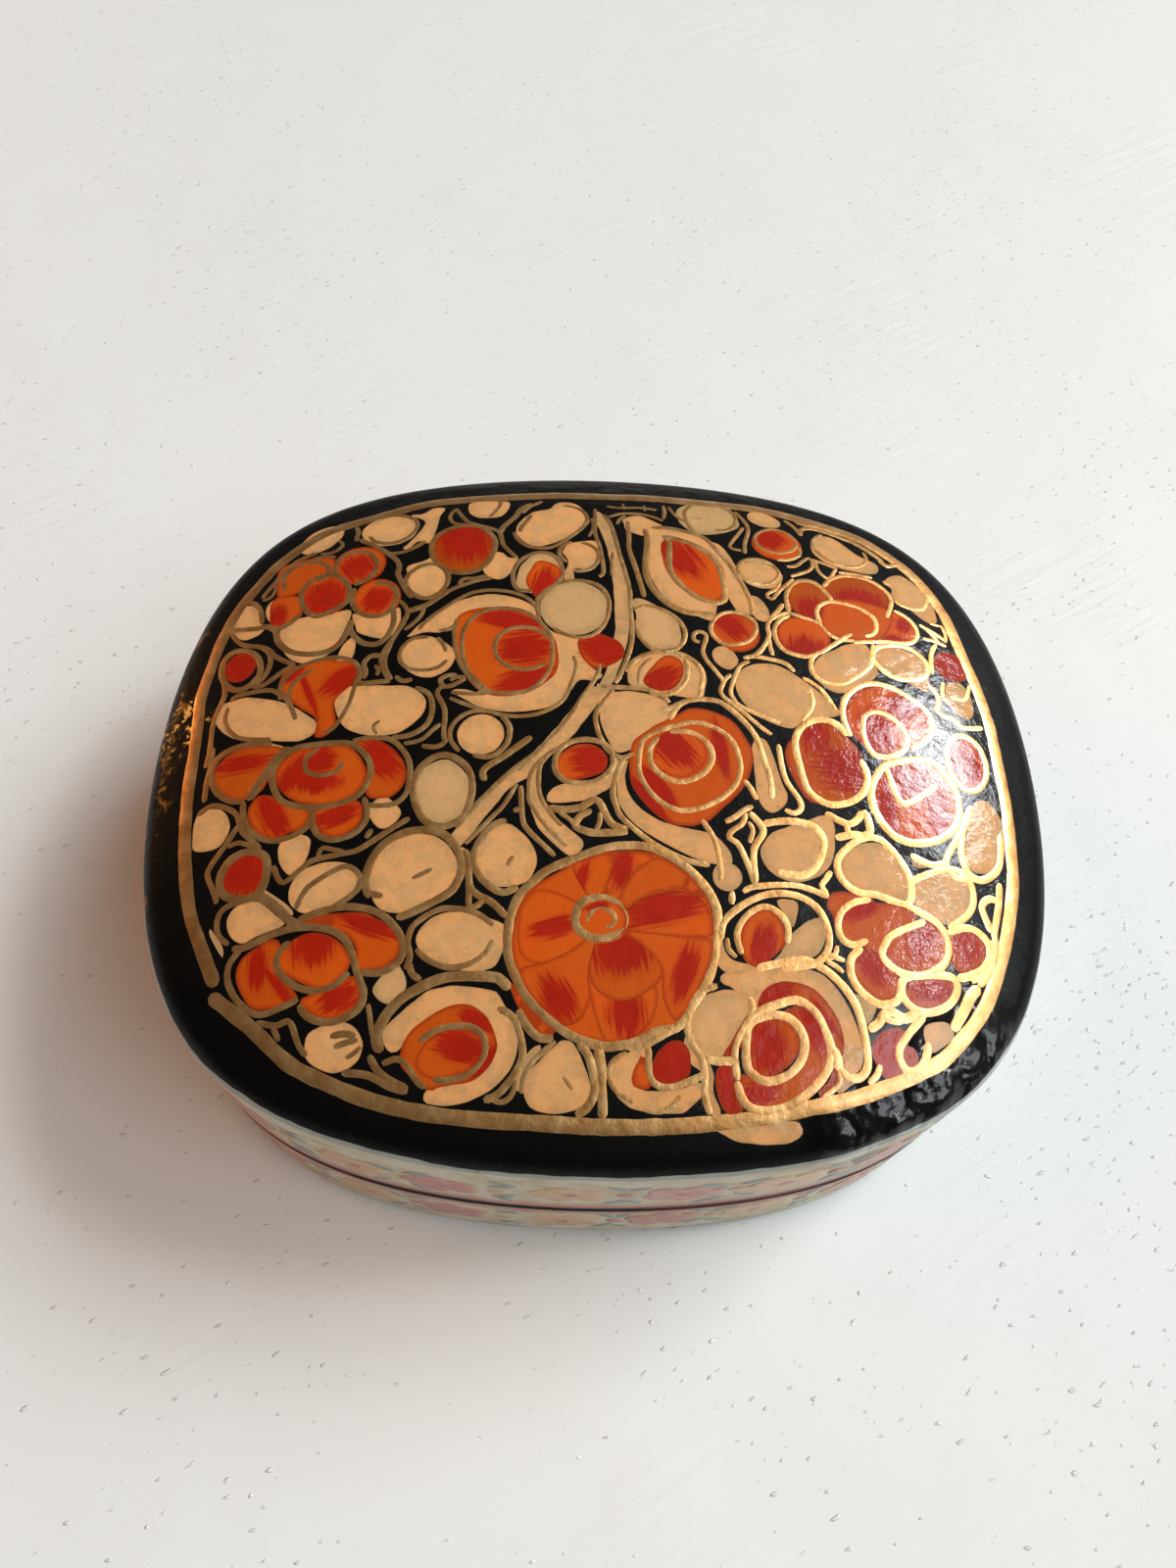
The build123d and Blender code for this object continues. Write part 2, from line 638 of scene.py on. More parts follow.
@dataclass
class PatchLayer:
    """One colour's patches, each a thin raised solid on the lid's top; sizes in mm.

    The edge's value rises from 0 to 1 over fading; stacked lifts a patch over each one under it.
    """

    name: str
    dome: Dome
    petals: tuple[Petal, ...]
    proud: float
    spread: float
    step: float = 0.42
    grain: float = 0.85
    shoulder: float = 0.14
    waver: float = 0.07
    stacked: float = 0.003
    fading: float = 1.2
    sunk: float = -0.05

    def edge_of(self, petal: Petal, seed: int) -> list[Point]:
        """A patch's outline, a little uneven and let out under the gold."""
        loop = smooth(petal.outline, True, self.step)
        if area(loop) < 0:
            loop.reverse()
        loop = inset_loop(loop, -self.spread)
        wave = [self.waver * wobble(p[0] * 0.9, p[1] * 0.9, seed * 3.7) for p in loop]
        return [(p[0] + w, p[1] - w) for p, w in zip(loop, wave)]

    def levels(self, loops: list[list[Point]]) -> list[int]:
        """How many patches lie under each one."""
        found = []
        for k, loop in enumerate(loops):
            under = [found[j] + 1 for j in range(k)
                     if any(inside(p, loops[j]) for p in loop) or any(inside(p, loop) for p in loops[j])]
            found.append(max(under, default=0))
        return found

    def lay(self, shell: Shell, petal: Petal, loop: list[Point], level: int, seed: int) -> None:
        """Adds one patch.

        Args:
            shell: The layer's mesh.
            petal: The patch.
            loop: Its outline, mm.
            level: How many patches lie under it.
            seed: Its number, for its own streaks and edge.
        """
        top = inset_loop(loop, self.shoulder)
        inner = []
        low = (min(p[0] for p in loop), min(p[1] for p in loop))
        high = (max(p[0] for p in loop), max(p[1] for p in loop))
        rows = int((high[1] - low[1]) / self.grain) + 1
        for j in range(rows + 1):
            for i in range(int((high[0] - low[0]) / self.grain) + 2):
                p = (low[0] + (i + 0.5 * (j % 2)) * self.grain, low[1] + j * self.grain)
                if inside(p, top) and edge_distance(p, top) > 0.42 * self.grain:
                    inner.append(p)
        n = len(loop)
        flat = [Vector(p) for p in top + inner]
        rim = [(i, (i + 1) % n) for i in range(n)]
        spots, _, cells, source, _, _ = delaunay_2d_cdt(flat, rim, [], 2, 1e-5)
        if len(spots) != len(flat):
            log.info("  %s %d: %d points became %d", self.name, seed, len(flat), len(spots))
        above = self.proud + self.stacked * level
        place_of = []
        for spot in spots:
            p = (spot.x, spot.y)
            edge = min(edge_distance(p, loop) / self.fading, 1.0)
            place_of.append(self.vertex(shell, petal, seed, p, above, edge))
        skirt = [self.vertex(shell, petal, seed, p, self.sunk, 0.0) for p in loop]
        for cell in cells:
            shell.face(*(place_of[k] for k in cell))
        index_of = {}
        for k, origins in enumerate(source):
            for origin in origins:
                index_of[origin] = place_of[k]
        for i in range(n):
            j = (i + 1) % n
            if index_of[i] != index_of[j]:
                shell.face(skirt[i], skirt[j], index_of[j], index_of[i])
            else:
                shell.face(skirt[i], skirt[j], index_of[i])
        _, _, under, origin, _, _ = delaunay_2d_cdt([Vector(p) for p in loop], rim, [], 2, 1e-5)
        for cell in under:
            shell.face(*(skirt[origin[k][0]] for k in reversed(cell)))

    def vertex(self, shell: Shell, petal: Petal, seed: int, p: Point, above: float, edge: float) -> int:
        """Adds a vertex with the values that the paint reads."""
        return shell.add(self.dome.on(p, above), self.dome.normal(*p), tone=petal.tone, edge=edge,
                         seed=(seed * GOLDEN) % 1.0, flush_a=petal.flush_at(p, 0),
                         flush_b=petal.flush_at(p, 1), flush_c=petal.flush_at(p, 2))

    def make(self, paint: Material, slot: Slot) -> bpy.types.Object:
        """Builds the layer."""
        shell = Shell()
        loops = [self.edge_of(petal, seed + 1) for seed, petal in enumerate(self.petals)]
        for seed, (petal, loop, level) in enumerate(zip(self.petals, loops, self.levels(loops))):
            self.lay(shell, petal, loop, level, seed + 1)
        return place(shell.build(self.name, paint), Body.LID)


# A gold line's section: places across it, in widths, and heights, in its full height
RIDGE = ((-0.5, -0.03), (-0.41, 0.66), (-0.16, 0.97), (0.16, 1.0), (0.41, 0.66), (0.5, -0.03))


@dataclass
class GoldLayer:
    """Gold lines, each a low rounded ridge on the lid's top."""

    name: str
    dome: Dome
    strokes: tuple[Stroke, ...]
    proud: float
    step: float = 0.36
    waver: float = 0.12
    roundness: float = 0.7

    def lay(self, shell: Shell, stroke: Stroke, seed: int) -> None:
        """Adds one line.

        Args:
            shell: The layer's mesh.
            stroke: The line.
            seed: Its number, for its own waver.
        """
        closed = stroke.closed
        path = smooth(stroke.points[:-1] if closed else stroke.points, closed, self.step)
        n, first = len(path), len(shell.points)
        for i, p in enumerate(path):
            a = path[i - 1] if (closed or i) else p
            b = path[(i + 1) % n] if (closed or i < n - 1) else p
            dx, dy = b[0] - a[0], b[1] - a[1]
            size = max(math.hypot(dx, dy), 1e-9)
            near = 9.0 if closed else min(i, n - 1 - i) * self.step + 0.06
            end = min(near / (0.5 * stroke.width), 1.0)
            round_end = math.sqrt(max(1 - (1 - end) ** 2, 0.02))
            sway = self.waver * wobble(p[0] * 0.8, p[1] * 0.8, seed * 2.3)
            width = stroke.width * round_end * (1 + sway)
            tall = self.proud * (0.85 + 0.3 * wobble(p[0] * 0.6, p[1] * 0.6, seed * 5.1))
            tall *= 0.55 + 0.45 * round_end
            tall *= 0.8 + 0.2 * min(stroke.width / 0.7, 1.4)
            for side, lift in RIDGE:
                spot = (p[0] - dy / size * width * side, p[1] + dx / size * width * side)
                rise = tall * lift + 0.0006 * (seed % 17) if lift > 0 else lift
                lean = Vector((-dy, dx, 0.0)) * (self.roundness * side / size)
                shell.add(self.dome.on(spot, rise), (self.dome.normal(*spot) + lean).normalized())
        rows = len(RIDGE)
        for i in range(n if closed else n - 1):
            a, b = first + i * rows, first + (i + 1) % n * rows
            for k in range(rows - 1):
                shell.face(a + k, b + k, b + k + 1, a + k + 1)
            shell.face(a + rows - 1, b + rows - 1, b, a)
        if not closed:
            shell.face(*(first + k for k in range(rows)))
            shell.face(*(first + (n - 1) * rows + k for k in reversed(range(rows))))

    def make(self, paint: Material) -> bpy.types.Object:
        """Builds the lines."""
        shell = Shell()
        for seed, stroke in enumerate(self.strokes):
            self.lay(shell, stroke, seed + 1)
        return place(shell.build(self.name, paint), Body.LID)


RIM_STEPS = 1440  # how finely the rim is measured


@dataclass(frozen=True)
class Bloom:
    """A garland flower's parts, along and up the wall, in the flower's own size."""

    petals: int = 5
    petal_out: Point = (0.62, 0.5)
    petal_size: Point = (0.74, 0.66)
    heart_size: Point = (0.46, 0.36)
    leaf_out: Point = (1.75, 0.95)
    leaf_size: Point = (0.62, 0.2)
    leaf_lean: float = 38.0
    bud_size: Point = (0.35, 0.3)


@dataclass
class Garland:
    """Soft flowers and leaves painted round one pale side band."""

    name: str
    outline: Squircle
    body: Body
    low: float
    high: float
    seed: int
    spacing: float = 10.4
    proud: float = -0.005
    bloom: Bloom = Bloom()

    def walk(self) -> list[Point]:
        """Angles along the rim, with the length of rim before each, mm."""
        found, before = [(0.0, 0.0)], self.outline.rim(0.0)
        for k in range(1, RIM_STEPS + 1):
            here = self.outline.rim(TURN * k / RIM_STEPS)
            found.append((TURN * k / RIM_STEPS, found[-1][1] + math.dist(before, here)))
            before = here
        return found

    def on_wall(self, table: list[Point], along: float, z: float, above: float) -> Place:
        """The wall's point for a length of rim and a height.

        Args:
            table: The result of walk.
            along: Length of rim, mm.
            z: Height, mm.
            above: Distance out of the wall, mm.

        Returns:
            The point, mm.
        """
        along %= table[-1][1]
        last = RIM_STEPS - 1
        k = min(int(along / table[-1][1] * RIM_STEPS), last)
        while k > 0 and table[k][1] > along:
            k -= 1
        while k < last and table[k + 1][1] <= along:
            k += 1
        t = (along - table[k][1]) / (table[k + 1][1] - table[k][1])
        angle = table[k][0] + TURN / RIM_STEPS * t
        return (*self.outline.inner(angle, -above), z)

    def blot(self, shell: Shell, table: list[Point], spot: Flush, dab: Dab, seed: float) -> None:
        """Adds one dab with a soft edge.

        Args:
            shell: The garland's mesh.
            table: The result of walk.
            spot: Rim length, height, half length and half width in mm, and turn in degrees.
            dab: Its paint.
            seed: Its own number.
        """
        along, z, rx, ry, turn = spot
        kind = dab.value
        c, s = math.cos(math.radians(turn)), math.sin(math.radians(turn))
        around, rings = 16, 3
        centre = shell.add(self.on_wall(table, along, z, self.proud), edge=1.0, seed=seed)
        before = [centre] * around
        for ring in range(1, rings + 1):
            here = []
            for k in range(around):
                phi = TURN * k / around
                r = ring / rings * (1 + 0.12 * wobble(math.cos(phi), math.sin(phi), seed * 9))
                p, q = rx * r * math.cos(phi), ry * r * math.sin(phi)
                spot_z = min(max(z + p * s + q * c, self.low), self.high)
                above = self.proud if ring < rings else -0.2
                here.append(shell.add(self.on_wall(table, along + p * c - q * s, spot_z, above),
                                      edge=1 - ring / rings, seed=seed))
            for k in range(around):
                j = (k + 1) % around
                if ring == 1:
                    shell.face(centre, here[k], here[j], kind=kind)
                else:
                    shell.face(before[k], here[k], here[j], before[j], kind=kind)
            before = here
        shell.face(*reversed(before), kind=kind)

    def make(self, kit: "Paintbox") -> bpy.types.Object:
        """Builds the garland."""
        chance, shell, table = random.Random(self.seed), Shell(), self.walk()
        total, bloom = table[-1][1], self.bloom
        count, fan = round(total / self.spacing), 360 / bloom.petals
        middle, span = 0.5 * (self.low + self.high), self.high - self.low
        for k in range(count):
            along = total * (k + 0.12 * chance.uniform(-1, 1)) / count
            z = middle + 0.06 * span * chance.uniform(-1, 1)
            size = 0.29 * span * chance.uniform(0.85, 1.1)
            first = chance.uniform(0, fan)
            main, other = (Dab.PEACH, Dab.PINK) if k % 2 == 0 else (Dab.PINK, Dab.PEACH)
            for petal in range(bloom.petals):
                turn = first + fan * petal
                a = math.radians(turn)
                x = along + size * bloom.petal_out[0] * math.cos(a)
                y = z + size * bloom.petal_out[1] * math.sin(a)
                spot = (x, y, size * bloom.petal_size[0], size * bloom.petal_size[1], turn)
                self.blot(shell, table, spot, main, chance.random())
            heart = (along, z, size * bloom.heart_size[0], size * bloom.heart_size[1], 0)
            self.blot(shell, table, heart, Dab.HEART, chance.random())
            for side, up in ((-1, -1), (-1, 1), (1, -1), (1, 1)):
                x = along + side * (size * bloom.leaf_out[0] + chance.uniform(0, 0.5))
                turn = side * up * bloom.leaf_lean + chance.uniform(-12, 12)
                spot = (x, z + up * size * bloom.leaf_out[1], size * bloom.leaf_size[0],
                        size * bloom.leaf_size[1], turn)
                self.blot(shell, table, spot, Dab.LEAF, chance.random())
            bud = (along + total / count * 0.5, z, size * bloom.bud_size[0], size * bloom.bud_size[1], 0)
            self.blot(shell, table, bud, other, chance.random())
        made = shell.build(self.name, kit.peach, kit.pink, kit.leaf, kit.heart)
        return place(made, self.body)


def place(made: bpy.types.Object, body: Body) -> bpy.types.Object:
    """Fixes a piece to its body.

    Args:
        made: The piece.
        body: The body it moves with.

    Returns:
        The piece.
    """
    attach(made, body.value)
    return made


# ---------------------------------------------------------------- paint


def linear(code: str) -> tuple[float, float, float, float]:
    """An sRGB colour such as "E4581A" as linear RGBA."""
    parts = [int(code[k:k + 2], 16) / 255 for k in (0, 2, 4)]
    parts = [c / 12.92 if c <= 0.04045 else ((c + 0.055) / 1.055) ** 2.4 for c in parts]
    return parts[0], parts[1], parts[2], 1.0


@dataclass(frozen=True)
class Band:
    """One pale side band: heights in mm, each pair from where a colour starts to where it is full.

    Soft is the spread of the lower edge, rim the soiled pink, seam the dark line, maroon paint deepened
    to near black as painted shade of the gap between lid and base, and swell how far that line wanders.
    """

    low: float
    high: float
    soft: float
    rim: Point
    seam: Point
    swell: float


BAND_OF_LID = Band(15.1, 31.0, 0.35, rim=(19.0, 15.6), seam=(15.75, 15.4), swell=-0.4)
BAND_OF_BASE = Band(1.7, 14.1, 0.8, rim=(10.6, 13.4), seam=(13.6, 13.9), swell=0.4)
CRINKLED_CORNER = (30.5, -34.0, 30.5)
# Middle of the golden painted glints of a warm lamp on the lid's left rim, mm.
PAINTED_GLINT_RIM = (-42.9, 3.4, 32.6)


class Graph:
    """The node tree of a material, or of the world, under way."""

    def __init__(self, name: str, world: bool = False) -> None:
        """Starts a material, or a world, called name."""
        self.material = (bpy.data.worlds if world else bpy.data.materials).new(name)
        self.material.use_nodes = True
        self.tree = self.material.node_tree
        self.tree.nodes.clear()
        self.output = self.tree.nodes.new("ShaderNodeOutputWorld" if world else "ShaderNodeOutputMaterial")

    def add(self, kind: str, inputs: dict | None = None, **settings):
        """Adds a node.

        Args:
            kind: The node's type, without ShaderNode.
            inputs: Values or sockets for its inputs, by name or number.
            **settings: The node's own settings.

        Returns:
            The node.
        """
        node = self.tree.nodes.new("ShaderNode" + kind)
        for name, value in settings.items():
            setattr(node, name, value)
        for name, value in (inputs or {}).items():
            if isinstance(value, Socket):
                self.tree.links.new(value, node.inputs[name])
            else:
                node.inputs[name].default_value = value
        return node

    def math(self, operation: str, *values) -> Socket:
        """A sum or other operation on numbers or sockets."""
        return self.add("Math", dict(enumerate(values)), operation=operation).outputs[0]

    def blend(self, factor, low, high) -> Socket:
        """Mixes two colours, each a socket or an sRGB code, by factor."""
        low, high = (linear(colour) if isinstance(colour, str) else colour for colour in (low, high))
        return self.add("Mix", {0: factor, 6: low, 7: high}, data_type="RGBA").outputs[2]

    def tint(self, colour, where, share: float, code: str) -> Socket:
        """Lays an sRGB colour over another where the value is 1, in the share given."""
        return self.blend(self.math("MULTIPLY", where, share), colour, code)

    def step(self, value, start: float, end: float) -> Socket:
        """0 at start and 1 at end, eased."""
        inputs = {0: value, 1: start, 2: end, 3: 0.0, 4: 1.0}
        return self.add("MapRange", inputs, interpolation_type="SMOOTHSTEP").outputs[0]

    def attribute(self, name: str, output: str = "Fac") -> Socket:
        """A value kept on the mesh."""
        return self.add("Attribute", attribute_name=name).outputs[output]

    def place(self) -> Socket:
        """The point on the piece, in mm."""
        spot = self.add("TexCoord").outputs["Object"]
        return self.add("VectorMath", {0: spot, 3: 1000.0}, operation="SCALE").outputs[0]

    def noise(self, vector, per_mm: float, detail: float = 3.0,
              rough: float = 0.55) -> Socket:
        """Noise from 0 to 1, with lumps 1 / per_mm wide."""
        inputs = {"Vector": vector, "Scale": per_mm, "Detail": detail, "Roughness": rough}
        return self.add("TexNoise", inputs).outputs["Fac"]

    def bump(self, height, distance: float, strength: float = 1.0, under=None) -> Socket:
        """A surface's small relief; distance in mm."""
        inputs = {"Height": height, "Distance": distance * MM, "Strength": strength}
        if under is not None:
            inputs["Normal"] = under
        return self.add("Bump", inputs).outputs[0]

    def surface(self, **inputs) -> Material:
        """Finishes with a Principled surface.

        Args:
            **inputs: Its inputs, with underscores for spaces.

        Returns:
            The material.
        """
        named = {name.replace("_", " "): value for name, value in inputs.items()}
        node = self.add("BsdfPrincipled", named)
        self.tree.links.new(node.outputs[0], self.output.inputs[0])
        return self.material


@dataclass(frozen=True)
class Varnish:
    """The clear coat over everything: brushed copal, nearly smooth."""

    weight: float = 0.42
    roughness: float = 0.07
    under: float = 0.45
    under_gloss: float = 0.08


class Paintbox:
    """All the box's finishes."""

    def __init__(self, varnish: Varnish = Varnish()) -> None:
        """Mixes the finishes under one varnish."""
        self.varnish = varnish
        self.lacquer = self._lacquer()
        self.inside = self._inside()
        self.underside = self._underside()
        self.cream = self._cream()
        self.orange = self._orange()
        self.gold = self._gold()
        self.peach = self._soft_dab("peach_distemper_dabbed", "D09A6C", "CDB694")
        self.pink = self._soft_dab("pink_distemper_dabbed", "BC6A64", "C8A08E")
        self.leaf = self._soft_dab("blue_grey_distemper_stroked", "74827F", "B4B5AA")
        self.heart = self._soft_dab("red_distemper_dotted", "A8483C", "C48A74")

    def _coat(self, graph: Graph, colour, relief, roughness=None, gloss=None) -> Material:
        """Finishes a paint under the varnish, thinned where gloss says so."""
        return graph.surface(Base_Color=colour, Roughness=roughness or self.varnish.under, Normal=relief,
                             Coat_Weight=gloss or self.varnish.weight,
                             Coat_Roughness=self.varnish.roughness,
                             Coat_Normal=relief, Specular_IOR_Level=self.varnish.under_gloss)

    def _ripple(self, graph: Graph, spot) -> Socket:
        """The varnish's brushed ripple: the eye sees it where a lamp glances off."""
        wide = graph.bump(graph.noise(spot, 0.2, 2.0), 0.26, 0.7)
        return graph.bump(graph.noise(spot, 0.95, 3.0, 0.6), 0.075, 0.9, wide)

    def _black(self, graph: Graph, spot) -> Socket:
        """Black lacquer's colour: brown specks near the left edge, worn chips that also stand in for a
        warm reflection, and golden flecks on its rim, painted glints of a warm lamp.
        """
        deep = graph.blend(graph.noise(spot, 0.2, 4.0), "030303", "0A0908")
        left = graph.step(graph.add("SeparateXYZ", {0: spot}).outputs["X"], -41.2, -43.0)
        # Brown chips near the left edge: worn lacquer, made strong enough that they also stand in for a
        # painted warm reflection.
        chips = graph.step(graph.noise(spot, 0.45, 5.0, 0.65), 0.56, 0.62)
        worn = graph.blend(graph.math("MULTIPLY", left, chips), deep, "8A5A22")
        # Golden flecks round this spot on the left rim: painted glints of a warm lamp.
        rim = {0: spot, 1: PAINTED_GLINT_RIM}
        away = graph.add("VectorMath", rim, operation="DISTANCE").outputs["Value"]
        rubbed = graph.step(away, 4.4, 2.8)
        painted_glints = graph.step(graph.noise(spot, 1.2, 4.0, 0.65), 0.55, 0.60)
        return graph.blend(graph.math("MULTIPLY", rubbed, painted_glints), worn, "F4AC54")

    def _wrinkle(self, graph: Graph, spot, under) -> tuple[Socket, Socket]:
        """The crinkled, scuffed corner at the front right: its relief, and where the gloss is full."""
        corner = {0: spot, 1: CRINKLED_CORNER}
        away = graph.add("VectorMath", corner, operation="DISTANCE").outputs["Value"]
        z = graph.add("SeparateXYZ", {0: spot}).outputs["Z"]
        near = graph.math("MULTIPLY", graph.step(away, 13.5, 8.5), graph.step(z, 34.2, 33.5))
        folds = graph.noise(spot, 0.28, 2.0, 0.45)
        full = graph.math("MAXIMUM", near, graph.step(z, 32.0, 34.2))
        return graph.bump(graph.math("MULTIPLY", folds, near), 1.7, 1.0, under), full

    def _lacquer(self) -> Material:
        """Black lacquer brushed on paper pulp: deep, nearly mirror-like, uneven in gloss."""
        graph = Graph("black_lacquer_brushed_on_pulp")
        spot = graph.place()
        rough = graph.step(graph.noise(spot, 0.35, 4.0), 0.2, 0.9)
        rough = graph.math("MULTIPLY_ADD", rough, 0.14, 0.30)
        return self._coat(graph, self._black(graph, spot), self._ripple(graph, spot), rough)

    def skin(self, band: Band) -> Material:
        """The outside of the bowl or lid: lacquer with a pale hand-painted band.

        Args:
            band: The band's heights.

        Returns:
            The material: pale blue-white distemper, a blue-grey painted shadow just under the black, pink
                at the seam and a dark seam line that is partly painted shade.
        """
        graph = Graph(f"lacquer_and_pale_distemper_band_{band.low:g}")
        spot = graph.place()
        z = graph.add("SeparateXYZ", {0: spot}).outputs["Z"]
        shaky = graph.math("MULTIPLY_ADD", graph.noise(spot, 0.11, 3.0), 1.5, -0.75)
        level = graph.math("ADD", z, shaky)
        over = graph.step(level, band.high - 0.05, band.high + 0.05)
        below = graph.step(level, band.low + band.soft, band.low - band.soft)
        # A blue-grey band just under the black: painted shadow of the black rim's edge on the pale band.
        line = graph.step(level, band.high - 0.9, band.high - 0.6)
        stain = graph.step(graph.noise(spot, 0.28, 4.0), 0.35, 0.75)
        ground = graph.blend(stain, "D6CDB8", "C2AE86")
        ground = graph.tint(ground, line, 0.75, "93A0A0")
        swell = graph.step(graph.noise(spot, 0.035, 1.0), 0.35, 0.65)
        parted = graph.math("ADD", z, graph.math("MULTIPLY", swell, band.swell))
        rim, seam = graph.step(level, *band.rim), graph.step(parted, *band.seam)
        streaked = graph.add("Mapping", {0: spot, 3: (0.09, 0.09, 0.8)}).outputs[0]
        patchy = graph.step(graph.noise(streaked, 1.0, 3.0), 0.26, 0.46)
        soil = graph.blend(graph.noise(streaked, 2.3, 3.0), "B4605E", "C98E7C")
        ground = graph.blend(graph.math("MULTIPLY", rim, patchy), ground, soil)
        # The seam's dark line: maroon paint, deepened to near black as painted shade of the gap between
        # lid and base.
        seam_shade = graph.step(graph.noise(spot, 0.05, 2.0), 0.45, 0.55)
        seam_shade = graph.blend(seam_shade, "0C0605", "4A1210")
        ground = graph.blend(seam, ground, seam_shade)
        chips = graph.step(graph.noise(spot, 0.42, 5.0, 0.6), 0.70, 0.73)
        ground = graph.blend(chips, ground, "7C5A3E")
        black = self._black(graph, spot)
        colour = graph.blend(over, ground, black)
        if band is BAND_OF_BASE:
            colour = graph.blend(below, ground, "3A332C")
        else:
            colour = graph.blend(graph.step(level, 15.2, 14.7), colour, "3B2A24")
        relief, full = self._wrinkle(graph, spot, self._ripple(graph, spot))
        gloss = graph.math("MULTIPLY_ADD", full, self.varnish.weight * 0.9, self.varnish.weight * 0.1)
        return self._coat(graph, colour, relief, gloss=gloss)

    def _inside(self) -> Material:
        """Thin black lacquer over board: browner and duller than outside."""
        graph = Graph("thin_black_lacquer_on_board")
        spot = graph.place()
        colour = graph.blend(graph.noise(spot, 0.3, 4.0), "14110F", "241C17")
        return self._coat(graph, colour, self._ripple(graph, spot), 0.45)

    def _underside(self) -> Material:
        """The foot: lacquer rubbed through to the brown pulp."""
        graph = Graph("worn_lacquer_on_paper_pulp")
        spot = graph.place()
        worn = graph.step(graph.noise(spot, 0.22, 5.0, 0.6), 0.55, 0.66)
        colour = graph.blend(worn, "1B1714", "6E5440")
        relief = graph.bump(graph.noise(spot, 1.1, 5.0, 0.7), 0.08, 0.6)
        return graph.surface(Base_Color=colour, Roughness=0.55, Normal=relief)

    def _cream(self) -> Material:
        """Cream body colour: peach or greenish by patch, faintly streaked."""
        graph = Graph("cream_gouache_brushed")
        spot, tone = graph.place(), graph.attribute("tone")
        colour = graph.blend(graph.step(tone, 0.25, -1.2), "DC9C60", "BE9868")
        colour = graph.blend(graph.step(tone, -1.0, -2.0), colour, "B09460")
        streak = graph.step(graph.noise(spot, 0.5, 5.0, 0.66), 0.44, 0.62)
        colour = graph.tint(colour, streak, 0.74, "A28252")
        pale = graph.step(graph.noise(spot, 0.5, 2.0), 0.5, 0.75)
        colour = graph.tint(colour, pale, 0.4, "E8B07A")
        heart = graph.step(graph.attribute("edge"), 0.2, 1.0)
        colour = graph.tint(colour, heart, 0.4, "E0AC76")
        rim = graph.step(graph.attribute("edge"), 0.28, 0.0)
        colour = graph.tint(colour, rim, 0.45, "8E7C5A")
        return self._coat(graph, colour, self._ripple(graph, spot))

    def _red(self, graph: Graph, name: str, seed) -> Socket:
        """How red one flush is at a point: full inside, then hair-like streaks.

        Args:
            graph: The material under way.
            name: The flush's vertex value.
            seed: The patch's own number.

        Returns:
            0 for plain orange to 1 for red.
        """
        parts = graph.add("SeparateXYZ", {0: graph.attribute(name, "Vector")})
        along, across, wide = parts.outputs
        near = graph.math("POWER", graph.math("ADD", graph.math("MULTIPLY", along, along),
                                              graph.math("MULTIPLY", across, across)), 0.5)
        lines = graph.add("CombineXYZ", {0: graph.math("MULTIPLY", along, 0.35),
                                         1: graph.math("MULTIPLY", wide, 3.4),
                                         2: graph.math("MULTIPLY", seed, 40.0)})
        hair = graph.math("MULTIPLY_ADD", graph.noise(lines.outputs[0], 1.0, 4.0, 0.68), 2.5, -1.25)
        core = graph.step(graph.math("ADD", near, hair), 1.52, 0.84)
        halo = graph.math("MULTIPLY", graph.step(near, 1.9, 0.7), 0.42)
        return graph.math("MAXIMUM", core, halo)

    def _orange(self) -> Material:
        """Orange body colour with red flushes drawn out into hair-like strokes."""
        graph = Graph("orange_gouache_with_red_hatching")
        spot, seed, tone = graph.place(), graph.attribute("seed"), graph.attribute("tone")
        colour = graph.blend(graph.step(tone, -1.0, 0.7), "9C4208", "D4540E")
        wash = graph.step(graph.noise(spot, 0.3, 3.0), 0.35, 0.75)
        colour = graph.tint(colour, wash, 0.45, "C05A12")
        red = graph.math("MAXIMUM", self._red(graph, "flush_a", seed), self._red(graph, "flush_b", seed))
        red = graph.math("MAXIMUM", red, self._red(graph, "flush_c", seed))
        deep = graph.blend(graph.noise(spot, 0.5, 3.0), "8C0E05", "B41C0A")
        colour = graph.blend(graph.math("MULTIPLY", red, 0.94), colour, deep)
        rim = graph.step(graph.attribute("edge"), 0.5, 0.04)
        colour = graph.tint(colour, rim, 0.75, "8E2608")
        return self._coat(graph, colour, self._ripple(graph, spot))

    def _gold(self) -> Material:
        """Bronze-powder gold paint laid thick: warm, softly metallic, paler where it is rubbed."""
        graph = Graph("gold_bronze_powder_paint_piped")
        spot = graph.place()
        worn = graph.step(graph.noise(spot, 0.5, 4.0), 0.35, 0.75)
        colour = graph.blend(worn, "BE8A50", "DCAE72")
        relief = graph.bump(graph.noise(spot, 2.2, 3.0, 0.6), 0.03, 0.5, self._ripple(graph, spot))
        rough = graph.math("MULTIPLY_ADD", graph.noise(spot, 1.5, 3.0), 0.2, 0.34)
        return graph.surface(Base_Color=colour, Metallic=0.9, Roughness=rough, Normal=relief,
                             Coat_Weight=0.5, Coat_Roughness=0.1)

    def _soft_dab(self, name: str, middle: str, rim: str) -> Material:
        """Thin distemper: full in the middle and let out into the ground.

        Args:
            name: The material's name.
            middle: Its colour in the middle.
            rim: Its colour at the edge.

        Returns:
            The material.
        """
        graph = Graph(name)
        spot = graph.place()
        full = graph.step(graph.attribute("edge"), 0.05, 0.65)
        patchy = graph.math("MULTIPLY", full, graph.step(graph.noise(spot, 0.7, 3.0), 0.1, 0.6))
        colour = graph.blend(patchy, rim, middle)
        return self._coat(graph, colour, self._ripple(graph, spot))


# ---------------------------------------------------------------- the painting, in tenths of a mm

